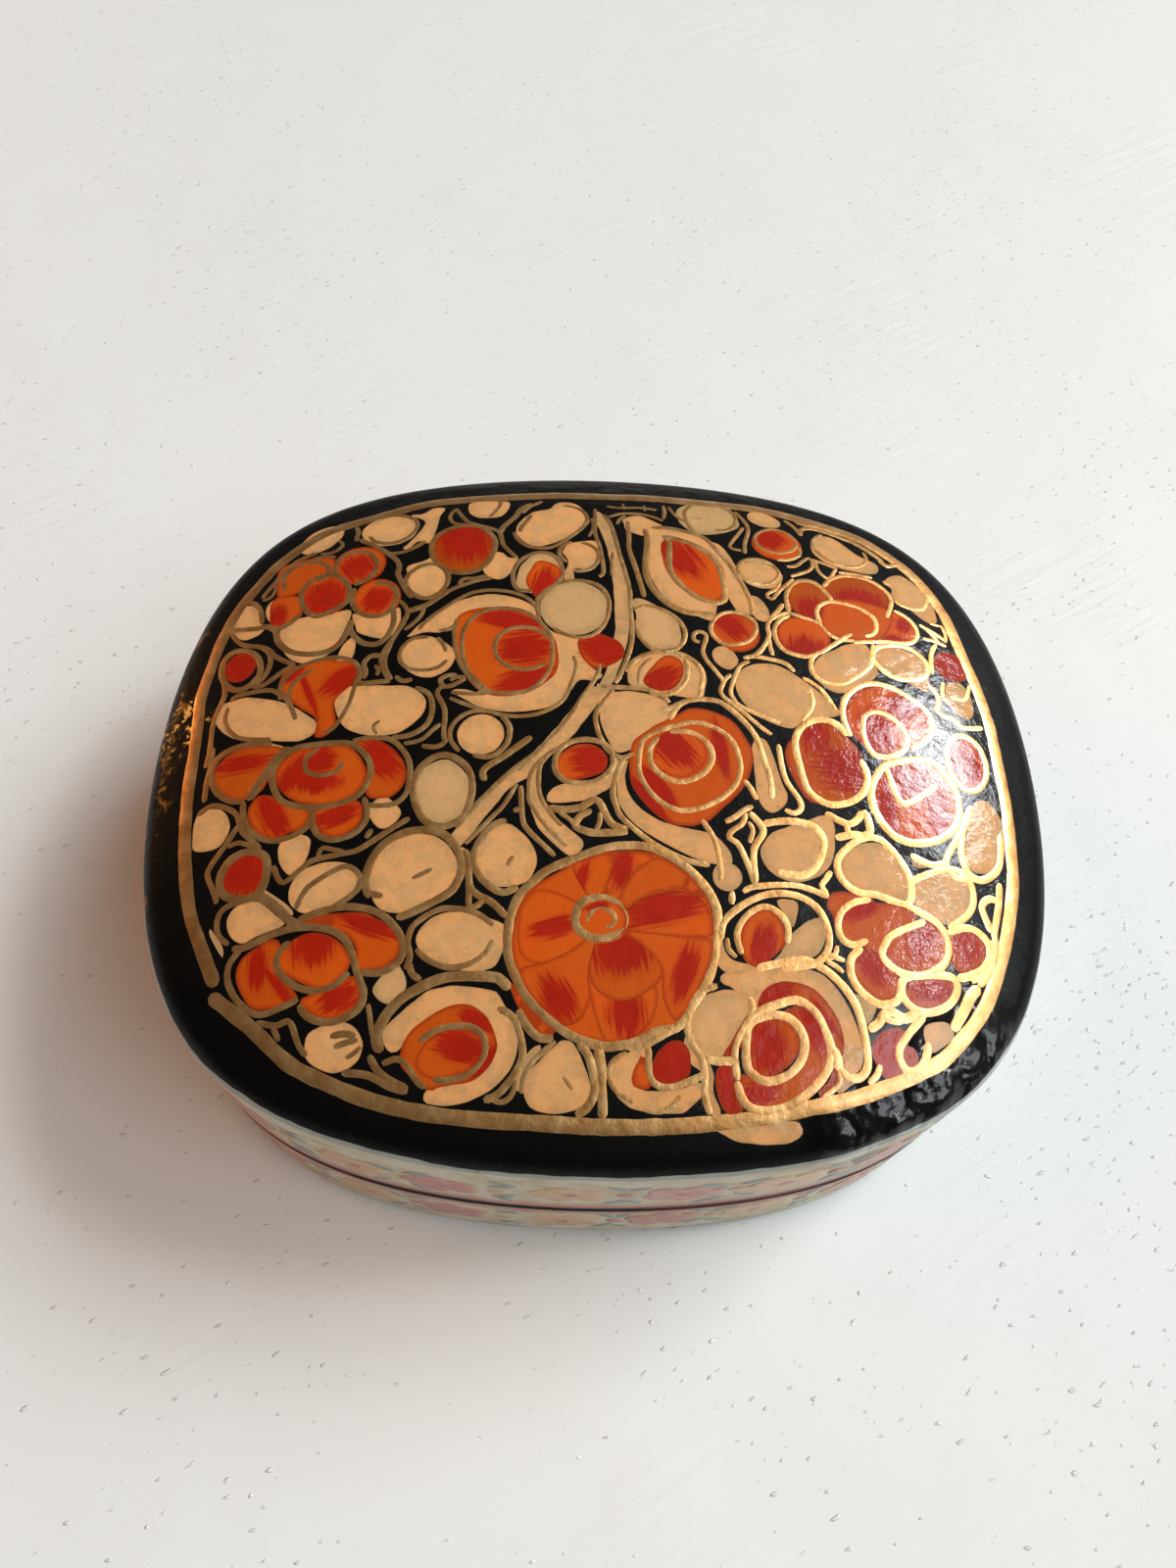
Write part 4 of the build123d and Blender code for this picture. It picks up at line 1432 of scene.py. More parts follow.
GOLD_STROKES = tuple(Stroke(*read[:2]) for read in shapes("""
0.55 -256,273 -249,264 -233,260 -217,266 -206,282 -207,297 -218,306 -233,310 -250,306; 0.6 -274,292
-270,282 -271,273 -270,267; 0.65 -267,269 -246,255 -224,235 -218,222 -218,210 -206,185 -200,176; 0.55
-240,248 -228,243 -214,246 -202,254 -194,262; 0.6 -312,252 -326,246 -339,234 -359,199 -363,189; 0.5
-352,214 -350,200 -354,189 -362,186; 0.5 -290,270 -285,263 -288,256 -296,250 -308,250; 0.65 -339,196
-343,212 -338,228 -324,236 -308,236 -296,227 -296,214 -306,206; 0.65 -290,242 -302,244 -316,242; 0.65
-286,214 -288,230 -280,244 -266,249 -252,244 -243,230 -244,216 -252,204 -264,198; 0.7 -310,209 -300,214
-286,213 -274,203 -268,188 -270,172 -294,156 -306,159 -316,172 -320,188 -316,202 -310,209; 0.65 -263,192
-263,174 -256,160 -244,152 -230,152 -220,162 -216,176 -220,190 -230,198 -242,198; 0.7 -316,160 -326,149
-336,143 -346,145; 0.75 -398,149 -364,146 -350,147 -340,139 -335,125 -323,112 -308,106 -290,105 -276,110
-267,122 -260,146; 0.7 -261,148 -260,134 -252,122 -242,115 -229,115 -220,126 -216,142 -218,160; 0.65
-390,186 -376,186 -366,178 -360,166 -357,152; 0.6 -389,144 -375,127 -353,120 -342,114 -333,104 -312,92;
0.6 -352,120 -342,110 -339,97 -342,82 -350,71; 0.6 -314,92 -324,85 -334,76 -344,69 -354,69; 0.75 -380,118
-390,109 -391,96 -387,82 -377,70 -365,67 -354,74 -348,86 -352,103 -364,115 -380,118; 0.6 -389,86 -384,74
-382,60 -388,32 -386,-4 -387,-22; 0.6 -374,54 -366,60 -336,63 -323,57 -313,48 -302,25; 0.55 -375,46
-376,32 -369,18 -358,9 -342,5 -324,4; 0.6 -321,50 -323,68 -315,83 -301,92 -282,98 -264,98 -250,91 -244,77
-243,66 -218,67 -212,67; 0.5 -293,85 -304,76 -313,63 -312,50; 0.5 -246,72 -251,40 -262,15 -273,8; 0.6
-224,99 -235,99 -241,90 -238,79 -240,71; 0.55 -213,68 -224,94 -214,123 -203,152; 0.5 -229,87 -225,80
-227,75; 0.6 -186,59 -173,52 -168,40 -168,24 -174,12 -188,3 -204,1; 0.4 -218,20 -223,15 -222,9 -219,5; 0.6
-207,73 -200,67 -190,69; 0.55 -165,319 -153,298 -146,291 -122,281 -113,274 -108,254 -93,234; 0.5 -165,318
-170,306 -168,296 -162,290 -152,289; 0.5 -115,334 -116,324 -120,313 -126,302; 0.65 -117,250 -120,267
-132,282 -148,287 -166,283 -180,272 -186,256 -184,238 -176,224 -164,214 -149,211 -134,215 -123,228
-117,250; 0.6 -80,306 -85,294 -90,284 -91,276; 0.5 -98,275 -92,262 -82,253 -67,250 -52,254 -30,276 -21,289
-18,302 -22,314 -32,322 -44,325; 0.7 -80,328 -92,317 -97,304 -110,284 -112,274; 0.45 -69,333 -82,322
-90,310; 0.55 -35,261 -46,251 -47,239 -40,229; 0.5 -24,260 -13,255 -6,245 -6,232 -12,221 -22,216 -32,216;
0.55 -75,185 -89,187 -95,199 -95,216 -88,231 -75,241 -61,242 -50,234 -44,220 -44,206 -63,178 -67,169; 0.6
-164,202 -170,184 -184,175 -198,180 -208,194 -207,209 -196,221 -182,225 -170,218 -164,202; 0.55 -70,172
-62,184 -52,193 -38,200 -22,201 -8,197 2,186 6,170 4,150 -3,135 -12,126 -26,123 -42,128 -51,135; 0.5
-68,176 -69,162 -66,148; 0.5 -212,172 -204,160 -204,146 -215,118 -220,90 -211,69; 0.7 -162,186 -174,174
-186,164 -196,160 -204,156; 0.5 -186,162 -188,152 -195,141 -204,132; 0.55 -118,203 -130,201 -144,195
-156,189 -166,182; 0.5 -123,207 -136,203 -148,202 -152,194; 0.5 -189,132 -178,148 -146,177 -126,185
-106,185 -88,180 -76,172 -69,162; 0.6 -144,116 -141,136 -131,151 -116,159 -98,160 -80,155 -65,142 -54,124
-51,104 -53,84 -61,67 -75,55 -94,52 -112,54 -125,66 -138,85 -144,116; 0.5 -151,146 -152,126 -149,104
-141,83 -128,64 -116,53; 0.55 -56,122 -66,131 -79,135 -94,133 -105,125 -110,110 -106,95 -96,85 -82,81
-68,83 -57,90; 0.5 -30,99 -27,84 -36,52 -44,40 -58,31 -74,26 -96,26 -128,36 -151,46; 0.5 -150,53 -136,51
-122,51 -110,53; 0.5 -168,131 -158,132 -152,138; 0.55 -169,121 -162,112 -159,103; 0.5 -178,122 -194,120
-204,108 -205,94 -196,83 -180,80 -166,83 -157,92; 0.5 -109,30 -124,31 -138,25 -147,12 -147,-2 -138,-15;
0.6 -99,26 -91,14 -91,-2 -98,-14 -110,-21 -124,-19; 0.55 -152,67 -147,71 -138,70 -148,62 -158,60 -162,68
-156,73 -146,74; 0.55 -159,60 -164,52 -155,32 -154,4 -152,-4 -160,-10 -174,-9; 0.5 -158,16 -166,8 -174,-1
-184,-5 -192,-6; 0.55 0,310 9,288 17,245 27,195 28,170 29,120 18,80 12,67; 0.5 -9,320 -9,290 -9,276 -3,248
0,216 -5,208; 0.4 10,246 9,228 9,210; 0.4 -16,270 -11,286 -13,302; 0.5 -4,90 -6,76 -22,46 -40,14 -64,-16
-80,-36; 0.4 6,306 20,313 38,314 54,310 66,303; 0.45 24,309 18,302 15,293; 0.45 68,332 69,320 67,306; 0.4
74,330 80,316 86,308 93,303; 0.35 4,326 20,324 40,326 60,323; 0.35 22,332 24,322; 0.35 46,330 47,320; 0.6
27,299 28,270 28,252 36,216 43,181; 0.75 45,286 48,268 45,224 48,204 58,184 72,170 90,162 116,161; 0.65
54,289 74,290 106,280 119,266 140,228 155,186 156,164; 0.75 67,275 72,264 71,226 78,208 92,190 108,180
122,179 129,190 124,232 114,250 98,264 83,271 73,272; 0.5 100,337 92,324 92,310 96,296 103,283; 0.5
136,338 147,326 149,310 142,297 133,292 125,293; 0.25 101,312 109,311; 0.5 215,281 206,297 190,302 174,294
168,280 175,266 192,261 208,267 215,281; 0.45 218,274 216,261 204,252 190,250; 0.5 190,228 182,242 168,248
152,244 145,230 150,216 164,210 180,213 190,228; 0.45 205,222 188,202 179,189 174,195 184,204 190,214; 0.5
150,330 162,302 156,272 155,256; 0.45 156,300 149,286 142,274 139,264 151,260; 0.45 203,226 222,236
229,246 226,258 210,243 200,241; 0.45 233,255 234,242 238,233 246,229 256,246; 0.45 228,256 242,252
256,246; 0.4 258,240 270,241 284,240 296,239; 0.5 32,162 44,169 60,165 76,154 84,138 82,122 72,111 56,109
44,117 36,132 33,148; 0.5 112,136 113,150 124,163 140,166 156,158 159,144 152,130 138,123 123,123 112,136;
0.5 99,123 93,126 94,135 101,137 106,131 102,108 116,84 121,75 118,66 119,58 136,42 156,23 166,15; 0.5
129,84 123,78 120,70; 0.5 149,102 138,94 128,66 130,55 137,46 164,33 176,30; 0.55 144,106 154,109 170,107
186,103 195,93; 0.55 143,106 156,111 166,124 172,138 172,154 186,176 190,183; 0.5 171,136 172,124 174,112;
0.45 176,160 186,168 196,172; 0.5 209,73 211,58 207,46 198,34; 0.5 203,86 212,81 222,72 229,60 234,49; 0.6
22,82 32,96 46,105 62,108 80,106 94,96 100,82 96,54; 0.5 49,99 40,90 36,78 36,66; 0.6 83,100 85,86 82,72
72,60 60,55 46,57; 0.6 -3,62 30,62 46,60 58,54 66,46; 0.55 10,59 -6,32 -6,16 -1,0 6,-12 18,-19 30,-14; 0.7
59,39 68,40 76,46; 0.5 247,302 237,293 234,278 242,264 256,254 274,252 288,258 294,269 292,280; 0.6
222,296 224,308 240,312 270,301 286,294 306,277 314,267; 0.5 206,322 216,310 222,296; 0.9 218,323 232,319
248,319 262,313; 0.6 309,270 318,263 330,269; 0.55 317,207 326,202 338,200 350,203 360,224; 0.5 308,235
317,233; 0.5 341,177 352,171 362,165 370,160; 0.5 345,176 354,165 361,154; 0.5 342,158 354,157 368,153;
0.45 367,182 370,170 368,158; 0.4 354,182 366,181; 0.6 229,159 226,176 232,187 246,193 264,191 278,186
289,176 290,162 284,152 276,149; 0.55 228,162 234,150 244,142 256,141 264,142; 0.6 196,173 195,196 204,214
218,221 232,216 246,194; 0.6 238,214 246,226 262,235 282,236 298,230 310,218 313,204 304,180; 0.55 314,192
328,184 336,170 334,156 322,147 290,144 262,139; 0.55 196,168 185,160 178,146 180,130 188,119 204,114
216,116 229,124 253,144 262,150; 0.5 195,172 208,167 222,163 229,159; 0.55 224,122 215,112 213,98 220,86
236,82 250,86 274,106 280,118 283,139; 0.65 281,126 288,136 306,142 324,140 338,128 340,114 332,102 316,98
300,99 288,108 281,118 281,126; 0.55 356,153 349,140 346,126 345,110; 0.5 356,101 353,92 353,81 359,74;
0.45 360,84 376,83 383,94 386,104; 0.6 338,94 346,84 346,72 343,64 350,58 360,56 366,49 376,48 392,52; 0.6
-386,-74 -378,-67 -368,-65 -348,-75 -338,-95 -322,-109 -319,-116; 0.6 -343,-88 -352,-106 -364,-127
-366,-137 -356,-156 -353,-165; 0.55 -350,-110 -342,-106 -332,-108 -322,-113; 0.9 -312,-122 -330,-116
-346,-124 -353,-140 -348,-156 -332,-162 -316,-159 -309,-144 -312,-122; 0.6 -303,-131 -298,-142 -291,-148
-276,-135 -266,-127 -238,-121 -224,-117 -200,-100 -180,-86; 0.5 -262,-124 -259,-115 -248,-117 -238,-119;
0.6 -214,-97 -219,-106; 0.6 -277,-174 -272,-160 -264,-150 -240,-135 -228,-136 -220,-146 -223,-158
-246,-175 -260,-179; 0.6 -336,-204 -346,-196 -350,-184 -347,-172 -336,-166 -322,-163; 1 -316,-159
-304,-165 -292,-174 -282,-184 -272,-189; 0.6 -383,0 -382,-20 -383,-40 -382,-60; 0.7 -322,-2 -344,0 -362,-4
-375,-12 -380,-26 -377,-40 -369,-52 -356,-61 -342,-63; 1.1 -338,-62 -325,-38 -313,-16 -302,-8; 0.7
-317,-40 -314,-24 -304,-12 -288,-6 -252,-4 -236,-10 -224,-24 -221,-40 -227,-57 -242,-68 -264,-73 -286,-72
-306,-63 -317,-40; 0.55 -249,-25 -254,-35 -266,-39 -280,-37 -286,-28 -284,-17 -274,-10; 0.6 -242,-2 -224,1
-206,-1 -194,-11 -185,-26 -183,-44 -185,-60 -193,-70 -206,-73 -221,-72; 0.65 -342,-63 -340,-76 -334,-90
-322,-101 -308,-106 -294,-104 -283,-99 -274,-90 -272,-78; 0.65 -274,-76 -271,-90 -264,-102 -250,-107
-234,-103 -223,-93 -220,-80 -225,-64; 0.75 -152,-19 -138,-24 -127,-36 -123,-52 -124,-68 -129,-84 -140,-92
-152,-95 -166,-88 -175,-72 -179,-52 -174,-34 -164,-23 -152,-19; 0.6 -136,-96 -116,-70 -90,-40 -64,-16
-52,-3; 0.5 -126,-112 -102,-84 -92,-72 -81,-50; 0.55 -40,-10 -52,-17 -67,-36 -69,-54 -67,-70 -50,-95
-32,-113; 0.5 -53,-20 -60,-32 -59,-60 -47,-82 -37,-93; 0.75 -111,-47 -113,-35 -92,-18 -69,2; 0.75 -89,-88
-102,-94 -112,-108 -118,-126 -112,-142 -100,-154 -88,-159 -76,-153; 0.55 -77,-52 -74,-86 -68,-98 -50,-116
-43,-123; 0.6 -83,-78 -76,-76; 0.6 -81,-124 -86,-133; 0.5 -172,-146 -164,-142 -155,-137; 0.85 -210,-164
-215,-150 -212,-130 -202,-113 -186,-102 -164,-98 -146,-103 -133,-117 -128,-134 -131,-149 -140,-161
-170,-178 -184,-183; 0.7 -210,-159 -204,-162 -198,-162; 0.7 -126,-118 -122,-130 -118,-156 -98,-169
-85,-182; 0.6 -121,-146 -120,-160 -119,-172 -112,-172 -106,-165; 0.65 -45,-22 -44,-36 -34,-46 -18,-48
-2,-43 9,-31 10,-17 3,-5 -12,0 -28,-2 -40,-10 -45,-22; 0.6 21,-19 14,-36 10,-56 13,-70 20,-84 48,-108
78,-123 100,-127; 0.6 94,-82 106,-104 110,-132 109,-142; 0.7 120,-152 119,-164; 0.8 -50,-74 -36,-76
-20,-73 -5,-65 8,-88 23,-96 -4,-99 -16,-97 -25,-92 -20,-82 -10,-76; 0.5 -40,-79 -30,-86 -25,-92; 0.5
-2,-78 -2,-88 -6,-97; 0.9 -83,-200 -81,-180 -74,-162 -62,-148 -44,-134 0,-115 20,-111 40,-111 56,-116
74,-127 90,-142 102,-160 106,-180 99,-226 80,-260 68,-276 50,-280 36,-288 20,-292 0,-293 -30,-282 -60,-258
-72,-240 -81,-220 -83,-200; 1.15 -22,-184 -20,-172 -12,-165 0,-162 11,-165 19,-172 22,-182 18,-192 10,-198
-2,-200 -13,-197 -20,-191 -22,-184; 0.9 -19,-194 -13,-188 -11,-180 -5,-174 4,-173 11,-177 13,-184 9,-189
3,-189; 0.6 -172,-230 -169,-218 -172,-206 -169,-192 -158,-182 -144,-175 -126,-175 -110,-180 -96,-190; 0.6
-164,-212 -152,-222 -134,-228 -116,-225 -102,-215 -96,-203; 0.7 -170,-224 -166,-234 -158,-239; 0.7
-234,-287 -222,-285 -212,-287; 0.6 -230,-296 -222,-293 -210,-290; 0.5 -219,-305 -212,-301 -207,-296; 0.75
-332,-208 -320,-207 -292,-195 -274,-191 -256,-191 -238,-196 -225,-208 -213,-238 -208,-250 -211,-263
-224,-272 -240,-275 -256,-270 -265,-260; 0.7 -279,-204 -287,-212 -289,-224 -281,-236 -266,-245 -250,-248
-234,-243 -223,-232; 0.65 -324,-209 -333,-222 -333,-236 -327,-248 -318,-258 -306,-266 -292,-266 -266,-255;
0.75 -274,-185 -256,-177 -238,-173 -220,-173 -202,-178 -188,-188 -178,-202 -176,-217 -184,-228 -198,-233
-212,-232; 0.6 -302,-274 -284,-277 -272,-274 -262,-294 -254,-303; 0.6 -298,-280 -286,-291; 0.6 -287,-278
-280,-290; 0.65 -156,-292 -144,-283 -128,-279 -112,-279 -101,-286 -98,-298 -103,-310 -114,-319 -130,-323
-142,-323; 1 -188,-300 -194,-290 -189,-274 -179,-260 -166,-250 -136,-237 -96,-236 -86,-240 -80,-247; 0.5
-203,-260 -200,-274 -197,-288; 0.7 -89,-263 -76,-270 -69,-284 -66,-298 -69,-312 -84,-332 -98,-339; 0.8
-71,-264 -65,-275 -53,-287 -40,-287; 0.5 -92,-338 -82,-340 -74,-334 -71,-322; 0.6 -187,-310 -176,-306
-168,-309 -156,-324 -148,-329; 0.7 -199,-303 -191,-315 -178,-324 -164,-330; 0.7 -222,-317 -200,-319
-180,-328 -164,-332; 0.5 -66,-333 -64,-319 -56,-306 -46,-297 -38,-290; 0.8 -18,-290 -9,-302 -4,-318
-3,-331 -9,-343 -19,-349; 0.45 -30,-319 -26,-324 -22,-329; 0.9 -1,-294 2,-310 3,-326 4,-340 4,-352; 1
24,-294 40,-290 54,-282 66,-276; 0.65 43,-293 44,-315 51,-324 65,-325 93,-314; 0.5 30,-338 16,-330 9,-318
12,-306 24,-298; 0.5 71,-332 64,-340 54,-345 40,-344; 0.7 104,-239 90,-244 81,-256 77,-272 80,-288 89,-301
92,-314 92,-330 97,-346; 0.8 94,-302 108,-303 122,-302; 0.7 133,-248 134,-262 119,-292 121,-318; 0.8
140,-222 180,-213 196,-217 210,-226 223,-240 232,-258 238,-296 232,-310 220,-312 210,-304; 0.85 131,-274
129,-304 136,-314 146,-318 158,-316 170,-309 179,-297 181,-282 174,-269 162,-263 146,-264 130,-276; 0.85
132,-274 136,-263 166,-250 180,-250 193,-260 201,-276 205,-292 200,-308 188,-322 170,-335 152,-341
136,-341 125,-333 120,-319; 1.1 203,-288 209,-295 210,-306; 0.5 211,-306 212,-316 204,-324 196,-329; 0.7
108,-198 111,-182 123,-169 140,-158 158,-152 176,-152 192,-158 203,-170 208,-186 206,-202 196,-214
180,-219 162,-221; 0.65 127,-210 123,-194 128,-180 138,-170 150,-165 162,-170 170,-182 169,-198; 0.5
114,-196 115,-206 122,-213; 0.6 116,-83 126,-77 134,-70 143,-65; 0.6 136,-73 132,-84 122,-92 119,-99
128,-106 138,-132 141,-144; 0.7 140,-72 152,-90 142,-110 142,-143; 0.5 138,-82 142,-90 138,-103; 0.6
130,-152 142,-146 180,-143 210,-152; 0.6 209,-150 204,-142 208,-136 214,-127; 0.6 136,-38 142,-46 147,-58;
0.8 152,-83 170,-79 188,-79 202,-84 209,-96 206,-112 199,-125 186,-133 164,-131; 0.6 50,10 38,-2 35,-30
41,-48 54,-64 72,-73 90,-71 110,-61 126,-46 133,-28 132,-10 126,6 112,18 92,24 74,20 56,12; 0.65 54,5
46,-8 47,-24 56,-36 70,-43 84,-41 98,-32 106,-18 105,-4 96,7 82,13 66,12; 0.65 66,26 74,42 86,50 104,52
122,46 148,16 158,-20 162,-38 162,-56; 0.6 172,4 176,-32 189,-56 189,-66 182,-70 174,-67; 0.8 242,20
234,32 220,37 204,32 193,20 189,2 195,-36 201,-48 212,-56 224,-58 240,-53 252,-43 258,-30 258,-20 254,-6;
0.85 262,-36 270,-20 282,-8 314,1 330,-1 342,-14 350,-32 350,-52 344,-68 332,-80 316,-88 296,-91 280,-86
268,-72 261,-54 262,-36; 0.75 279,-13 288,-46 298,-49 320,-34 330,-26; 0.7 384,26 372,36 358,34 348,20
346,2 350,-15 362,-26 375,-23 385,-10 388,8 384,26; 0.7 246,20 241,40 243,60 256,78 274,87 294,85 312,76
328,64 335,50 332,34 322,22 308,12; 0.65 264,46 276,52 290,48 302,36 305,20 298,8 282,0 268,2 261,16
260,32 264,46; 0.8 364,-44 351,-72 347,-88 347,-102 350,-114 358,-121 368,-120 379,-112 387,-99 392,-70;
0.7 350,-72 332,-100 329,-110 335,-121 348,-123; 0.8 213,-68 233,-77 242,-74 252,-64 256,-82 250,-88
238,-88 221,-93; 0.6 233,-77 234,-88; 0.75 286,-153 256,-147 240,-146 228,-139 221,-128 222,-114 234,-100
248,-91 262,-90 274,-99 290,-126 285,-152; 0.7 289,-134 300,-126 328,-115 344,-116 352,-126 353,-142
348,-154 338,-164 324,-173; 0.75 294,-104 304,-109 316,-112 328,-109; 0.7 250,-152 234,-156 222,-165
217,-178 220,-191 230,-196 244,-191; 0.8 301,-169 270,-183 260,-194 257,-204 264,-213 276,-219 292,-220
308,-213 318,-204 322,-190 318,-176 308,-166 283,-154; 0.8 323,-178 336,-172 350,-172 362,-182 363,-196
354,-208 340,-216 328,-219; 0.8 238,-198 228,-208 226,-220 230,-232 240,-242 252,-248 266,-245 272,-236
272,-224; 0.8 274,-240 274,-227 284,-221 318,-218 327,-224 324,-236 314,-246 298,-252 284,-250 274,-240;
0.7 370,-170 371,-186 367,-200 359,-214 349,-224; 1.1 349,-225 340,-234 333,-246 325,-258 320,-266; 0.5
367,-180 365,-198 354,-214 342,-221; 0.75 383,-122 379,-144 372,-168 370,-176; 0.75 368,-172 361,-152
363,-144 370,-139 378,-140; 0.8 293,-255 272,-278 267,-290 272,-302 283,-302 292,-292 295,-278; 0.9
240,-271 250,-264 254,-257 263,-254 274,-259 287,-253; 0.6 253,-259 262,-262 272,-262; 0.65 249,-300
246,-308 238,-316; 0.5 215,-198 212,-207 204,-212 212,-216 219,-222; 0.5 206,-206 214,-209 221,-211
"""))

BORDER_STROKES = tuple(Stroke(*read[:2]) for read in shapes("""
1.4 -344,-241 -367,-196 -378,-172 -387,-140 -395,-100 -401,-50 -403,0 -406,40 -408,64 -404,100 -398,140
-386,180 -365,220 -353,240 -319,276 -296,291 -245,311 -200,329 -150,337 -100,342 -50,346 0,346 50,347
100,344 140,342 180,339 220,329 260,316 280,309 300,298 334,268 356,239 370,208 376,190 386,140 395,100
401,60 402,40 403,0 404,-30 403,-60 401,-90 398,-120 385,-170 370,-210 350,-248 318,-284 299,-298 260,-316
220,-330 180,-339 140,-348 90,-354 50,-357 0,-358 -50,-356 -100,-354 -150,-349 -200,-338 -250,-319
-274,-306 -310,-276 -348,-249
"""))


# ---------------------------------------------------------------- studio


@dataclass(frozen=True)
class View:
    """The photo's viewpoint, as angles and distances."""

    elevation: float = 61.306
    azimuth: float = -3.045
    roll: float = 4.291
    distance: float = 126.399
    target: Place = (-0.975, 2.237, 25.0)
    lens: float = 27.045
    sensor: float = 36.0

    def make(self) -> bpy.types.Object:
        """Places the camera."""
        up, round_z = math.radians(self.elevation), math.radians(self.azimuth)
        turn = math.radians(self.roll)
        back = Vector((math.sin(round_z) * math.cos(up), -math.cos(round_z) * math.cos(up), math.sin(up)))
        right = Vector((math.cos(round_z), math.sin(round_z), 0.0))
        above = back.cross(right)
        across = right * math.cos(turn) + above * math.sin(turn)
        along = above * math.cos(turn) - right * math.sin(turn)
        data = bpy.data.cameras.new("photo_view")
        data.lens, data.sensor_width, data.clip_start = self.lens, self.sensor, 0.005
        made = bpy.data.objects.new("photo_view", data)
        turned = Matrix((across, along, back)).transposed().to_4x4()
        made.matrix_world = Matrix.Translation((Vector(self.target) + back * self.distance) * MM) @ turned
        bpy.context.scene.collection.objects.link(made)
        bpy.context.scene.camera = made
        return made


@dataclass(frozen=True)
class Softbox:
    """A square lamp: its direction in degrees, distance and width in mm, power and colour."""

    name: str
    azimuth: float
    elevation: float
    distance: float
    size: float
    watts: float
    colour: str
    mirrored: bool = True
    spreads: bool = True

    def make(self) -> bpy.types.Object:
        """Hangs the lamp, facing the box."""
        data = bpy.data.lights.new(self.name, "AREA")
        data.shape, data.size = "SQUARE", self.size * MM
        data.energy, data.color = self.watts, linear(self.colour)[:3]
        made = bpy.data.objects.new(self.name, data)
        up, round_z = math.radians(self.elevation), math.radians(self.azimuth)
        away = Vector((math.cos(round_z) * math.cos(up), math.sin(round_z) * math.cos(up), math.sin(up)))
        made.location = Vector((0, 0, 0.03)) + away * self.distance * MM
        made.rotation_euler = away.to_track_quat("Z", "Y").to_euler()
        made.visible_glossy, made.visible_diffuse = self.mirrored, self.spreads
        bpy.context.scene.collection.objects.link(made)
        return made


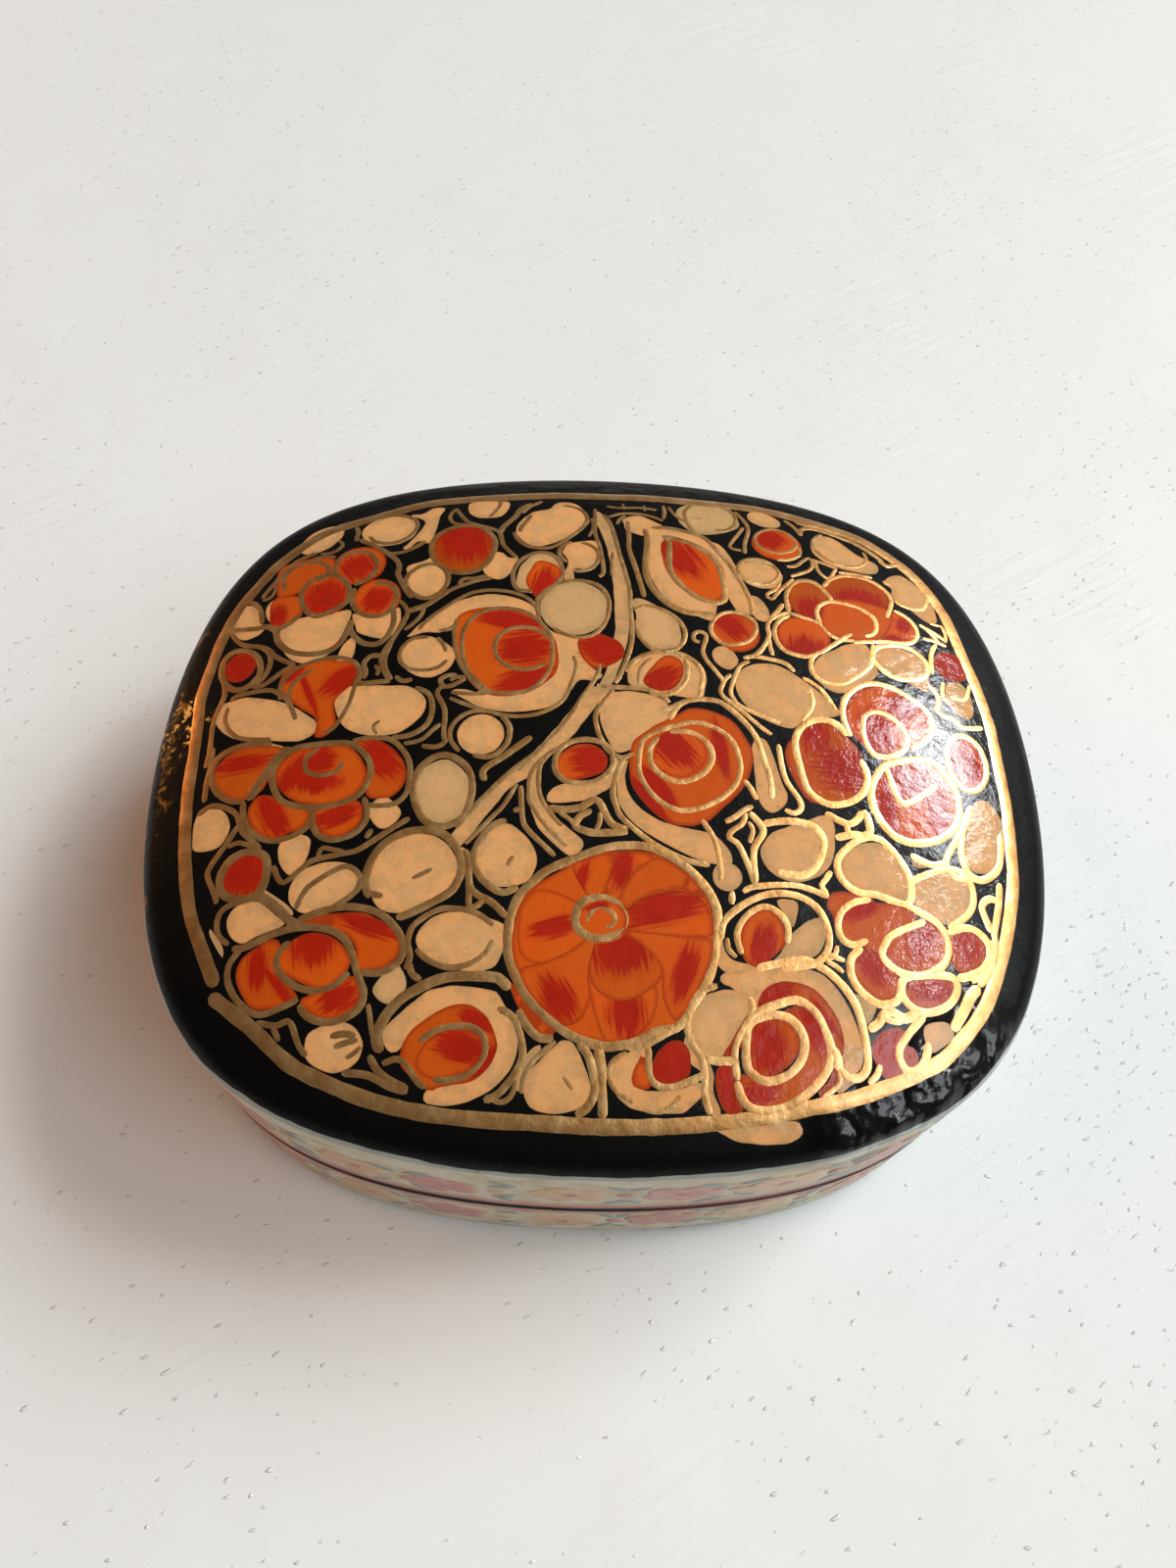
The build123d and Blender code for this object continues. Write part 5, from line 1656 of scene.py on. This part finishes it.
@dataclass
class Studio:
    """The plain floor, the lamps and the camera."""

    view: View = View()
    lamps: tuple[Softbox, ...] = (
        Softbox("window", 37.0, 39.0, 4000.0, 1250.0, 115.0, "F8FBFF", spreads=False),
        Softbox("bright_pane", 38.0, 39.0, 4000.0, 440.0, 26.0, "FFFFFF", spreads=False),
        Softbox("front_pane", -21.0, 46.0, 4000.0, 1800.0, 66.0, "F2F7FF", spreads=False),
        Softbox("upper_pane", 11.0, 51.0, 4000.0, 440.0, 16.0, "FFFFFF"),
        Softbox("lit_wall", -12.0, 47.0, 4000.0, 3200.0, 44.0, "F4FCFB"),
        Softbox("warm_lamp", 150.0, 10.0, 1600.0, 220.0, 2.8, "FFAA4C"),
        Softbox("key", 24.0, 43.0, 4000.0, 2000.0, 120.0, "EFFAFC", mirrored=False),
        Softbox("fill", -38.0, 52.0, 4000.0, 2600.0, 38.0, "F0FAFF", mirrored=False),
        Softbox("warm_wall", 176.0, 40.0, 4000.0, 2600.0, 33.0, "FFA45A", mirrored=False),
    )
    floor_colour: str = "EAEBEA"
    sky: float = 0.08

    @staticmethod
    def brushed(graph: Graph, spot, degrees: float,
                lumps: Place) -> Socket:
        """Turns a point into brush strokes' own axes, with lumps of the sizes given in mm."""
        inputs = {0: spot, 2: (0.0, 0.0, math.radians(degrees)), 3: lumps}
        return graph.add("Mapping", inputs, vector_type="TEXTURE").outputs[0]

    def floor(self) -> bpy.types.Object:
        """Lays the floor: board painted white with a brush, with a few pits and nibs."""
        graph = Graph("board_brushed_with_white_paint")
        spot = graph.place()
        colour = graph.blend(graph.noise(spot, 0.02, 3.0), self.floor_colour, "E4E5E4")
        sweep = self.brushed(graph, spot, 32.0, (20.0, 1.8, 1.0))
        fading = graph.step(graph.noise(spot, 0.03, 2.0), 0.4, 0.75)
        relief = graph.bump(graph.math("MULTIPLY", graph.noise(sweep, 1.0, 4.0, 0.6), fading), 0.4, 0.8)
        dashes = self.brushed(graph, spot, 24.0, (1.5, 0.7, 1.0))
        crowded = graph.math("MULTIPLY", graph.noise(spot, 0.022, 2.0), 0.2)
        nibs = graph.step(graph.math("ADD", graph.noise(dashes, 1.0, 1.0, 0.5), crowded), 0.78, 0.90)
        relief = graph.bump(nibs, 0.14, 1.0, relief)
        relief = graph.bump(graph.noise(spot, 2.6, 2.0), 0.012, 0.7, relief)
        shell = Shell()
        half, signs = 3000.0, ((-1, -1), (1, -1), (1, 1), (-1, 1))
        corners = [shell.add((x * half, y * half, 0.0)) for x, y in signs]
        shell.face(*corners)
        made = shell.build("floor", graph.surface(Base_Color=colour, Roughness=0.6, Normal=relief))
        return made

    def make(self) -> None:
        """Sets up the studio."""
        scene = bpy.context.scene
        scene.view_settings.view_transform = "Standard"
        sky = Graph("plain_sky", world=True)
        seen = sky.math("MAXIMUM", sky.add("LightPath").outputs["Is Camera Ray"], self.sky)
        glow = sky.add("Background", {0: linear("F0E6DA"), 1: seen})
        sky.tree.links.new(glow.outputs[0], sky.output.inputs[0])
        scene.world = sky.material
        self.floor()
        for lamp in self.lamps:
            lamp.make()
        self.view.make()


@dataclass
class PaintedBox:
    """The whole box: bowl, collar, lid and all its painting."""

    dome: Dome = Dome()

    def make(self) -> list[bpy.types.Object]:
        """Builds every piece."""
        kit, dome, shape = Paintbox(), self.dome, self.dome.outline
        return [
            Bowl(shape).make(kit),
            Collar(shape).make(kit),
            Lid(dome).make(kit),
            Garland("lid_side_flowers", shape, Body.LID, 16.0, 28.4, 11).make(kit),
            Garland("base_side_flowers", shape, Body.BASE, 2.8, 13.2, 12).make(kit),
            PatchLayer("cream_paint_patches", dome, CREAM_PETALS, proud=0.022, spread=0.08).make(
                kit.cream, Slot.CREAM),
            PatchLayer("orange_paint_petals", dome, ORANGE_PETALS, proud=0.042, spread=0.2).make(
                kit.orange, Slot.ORANGE),
            GoldLayer("gold_border_line", dome, BORDER_STROKES, proud=0.075, waver=0.1,
                      roundness=0.35).make(kit.gold),
            GoldLayer("gold_motif_lines", dome, GOLD_STROKES, proud=0.085,
                      roundness=0.28).make(kit.gold),
        ]


def main() -> None:
    """Builds the box and its studio, and logs how many pieces there are."""
    pieces = PaintedBox().make()
    Studio().make()
    log.info("%d pieces", len(pieces))
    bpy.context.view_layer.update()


if __name__ == "__main__":
    main()
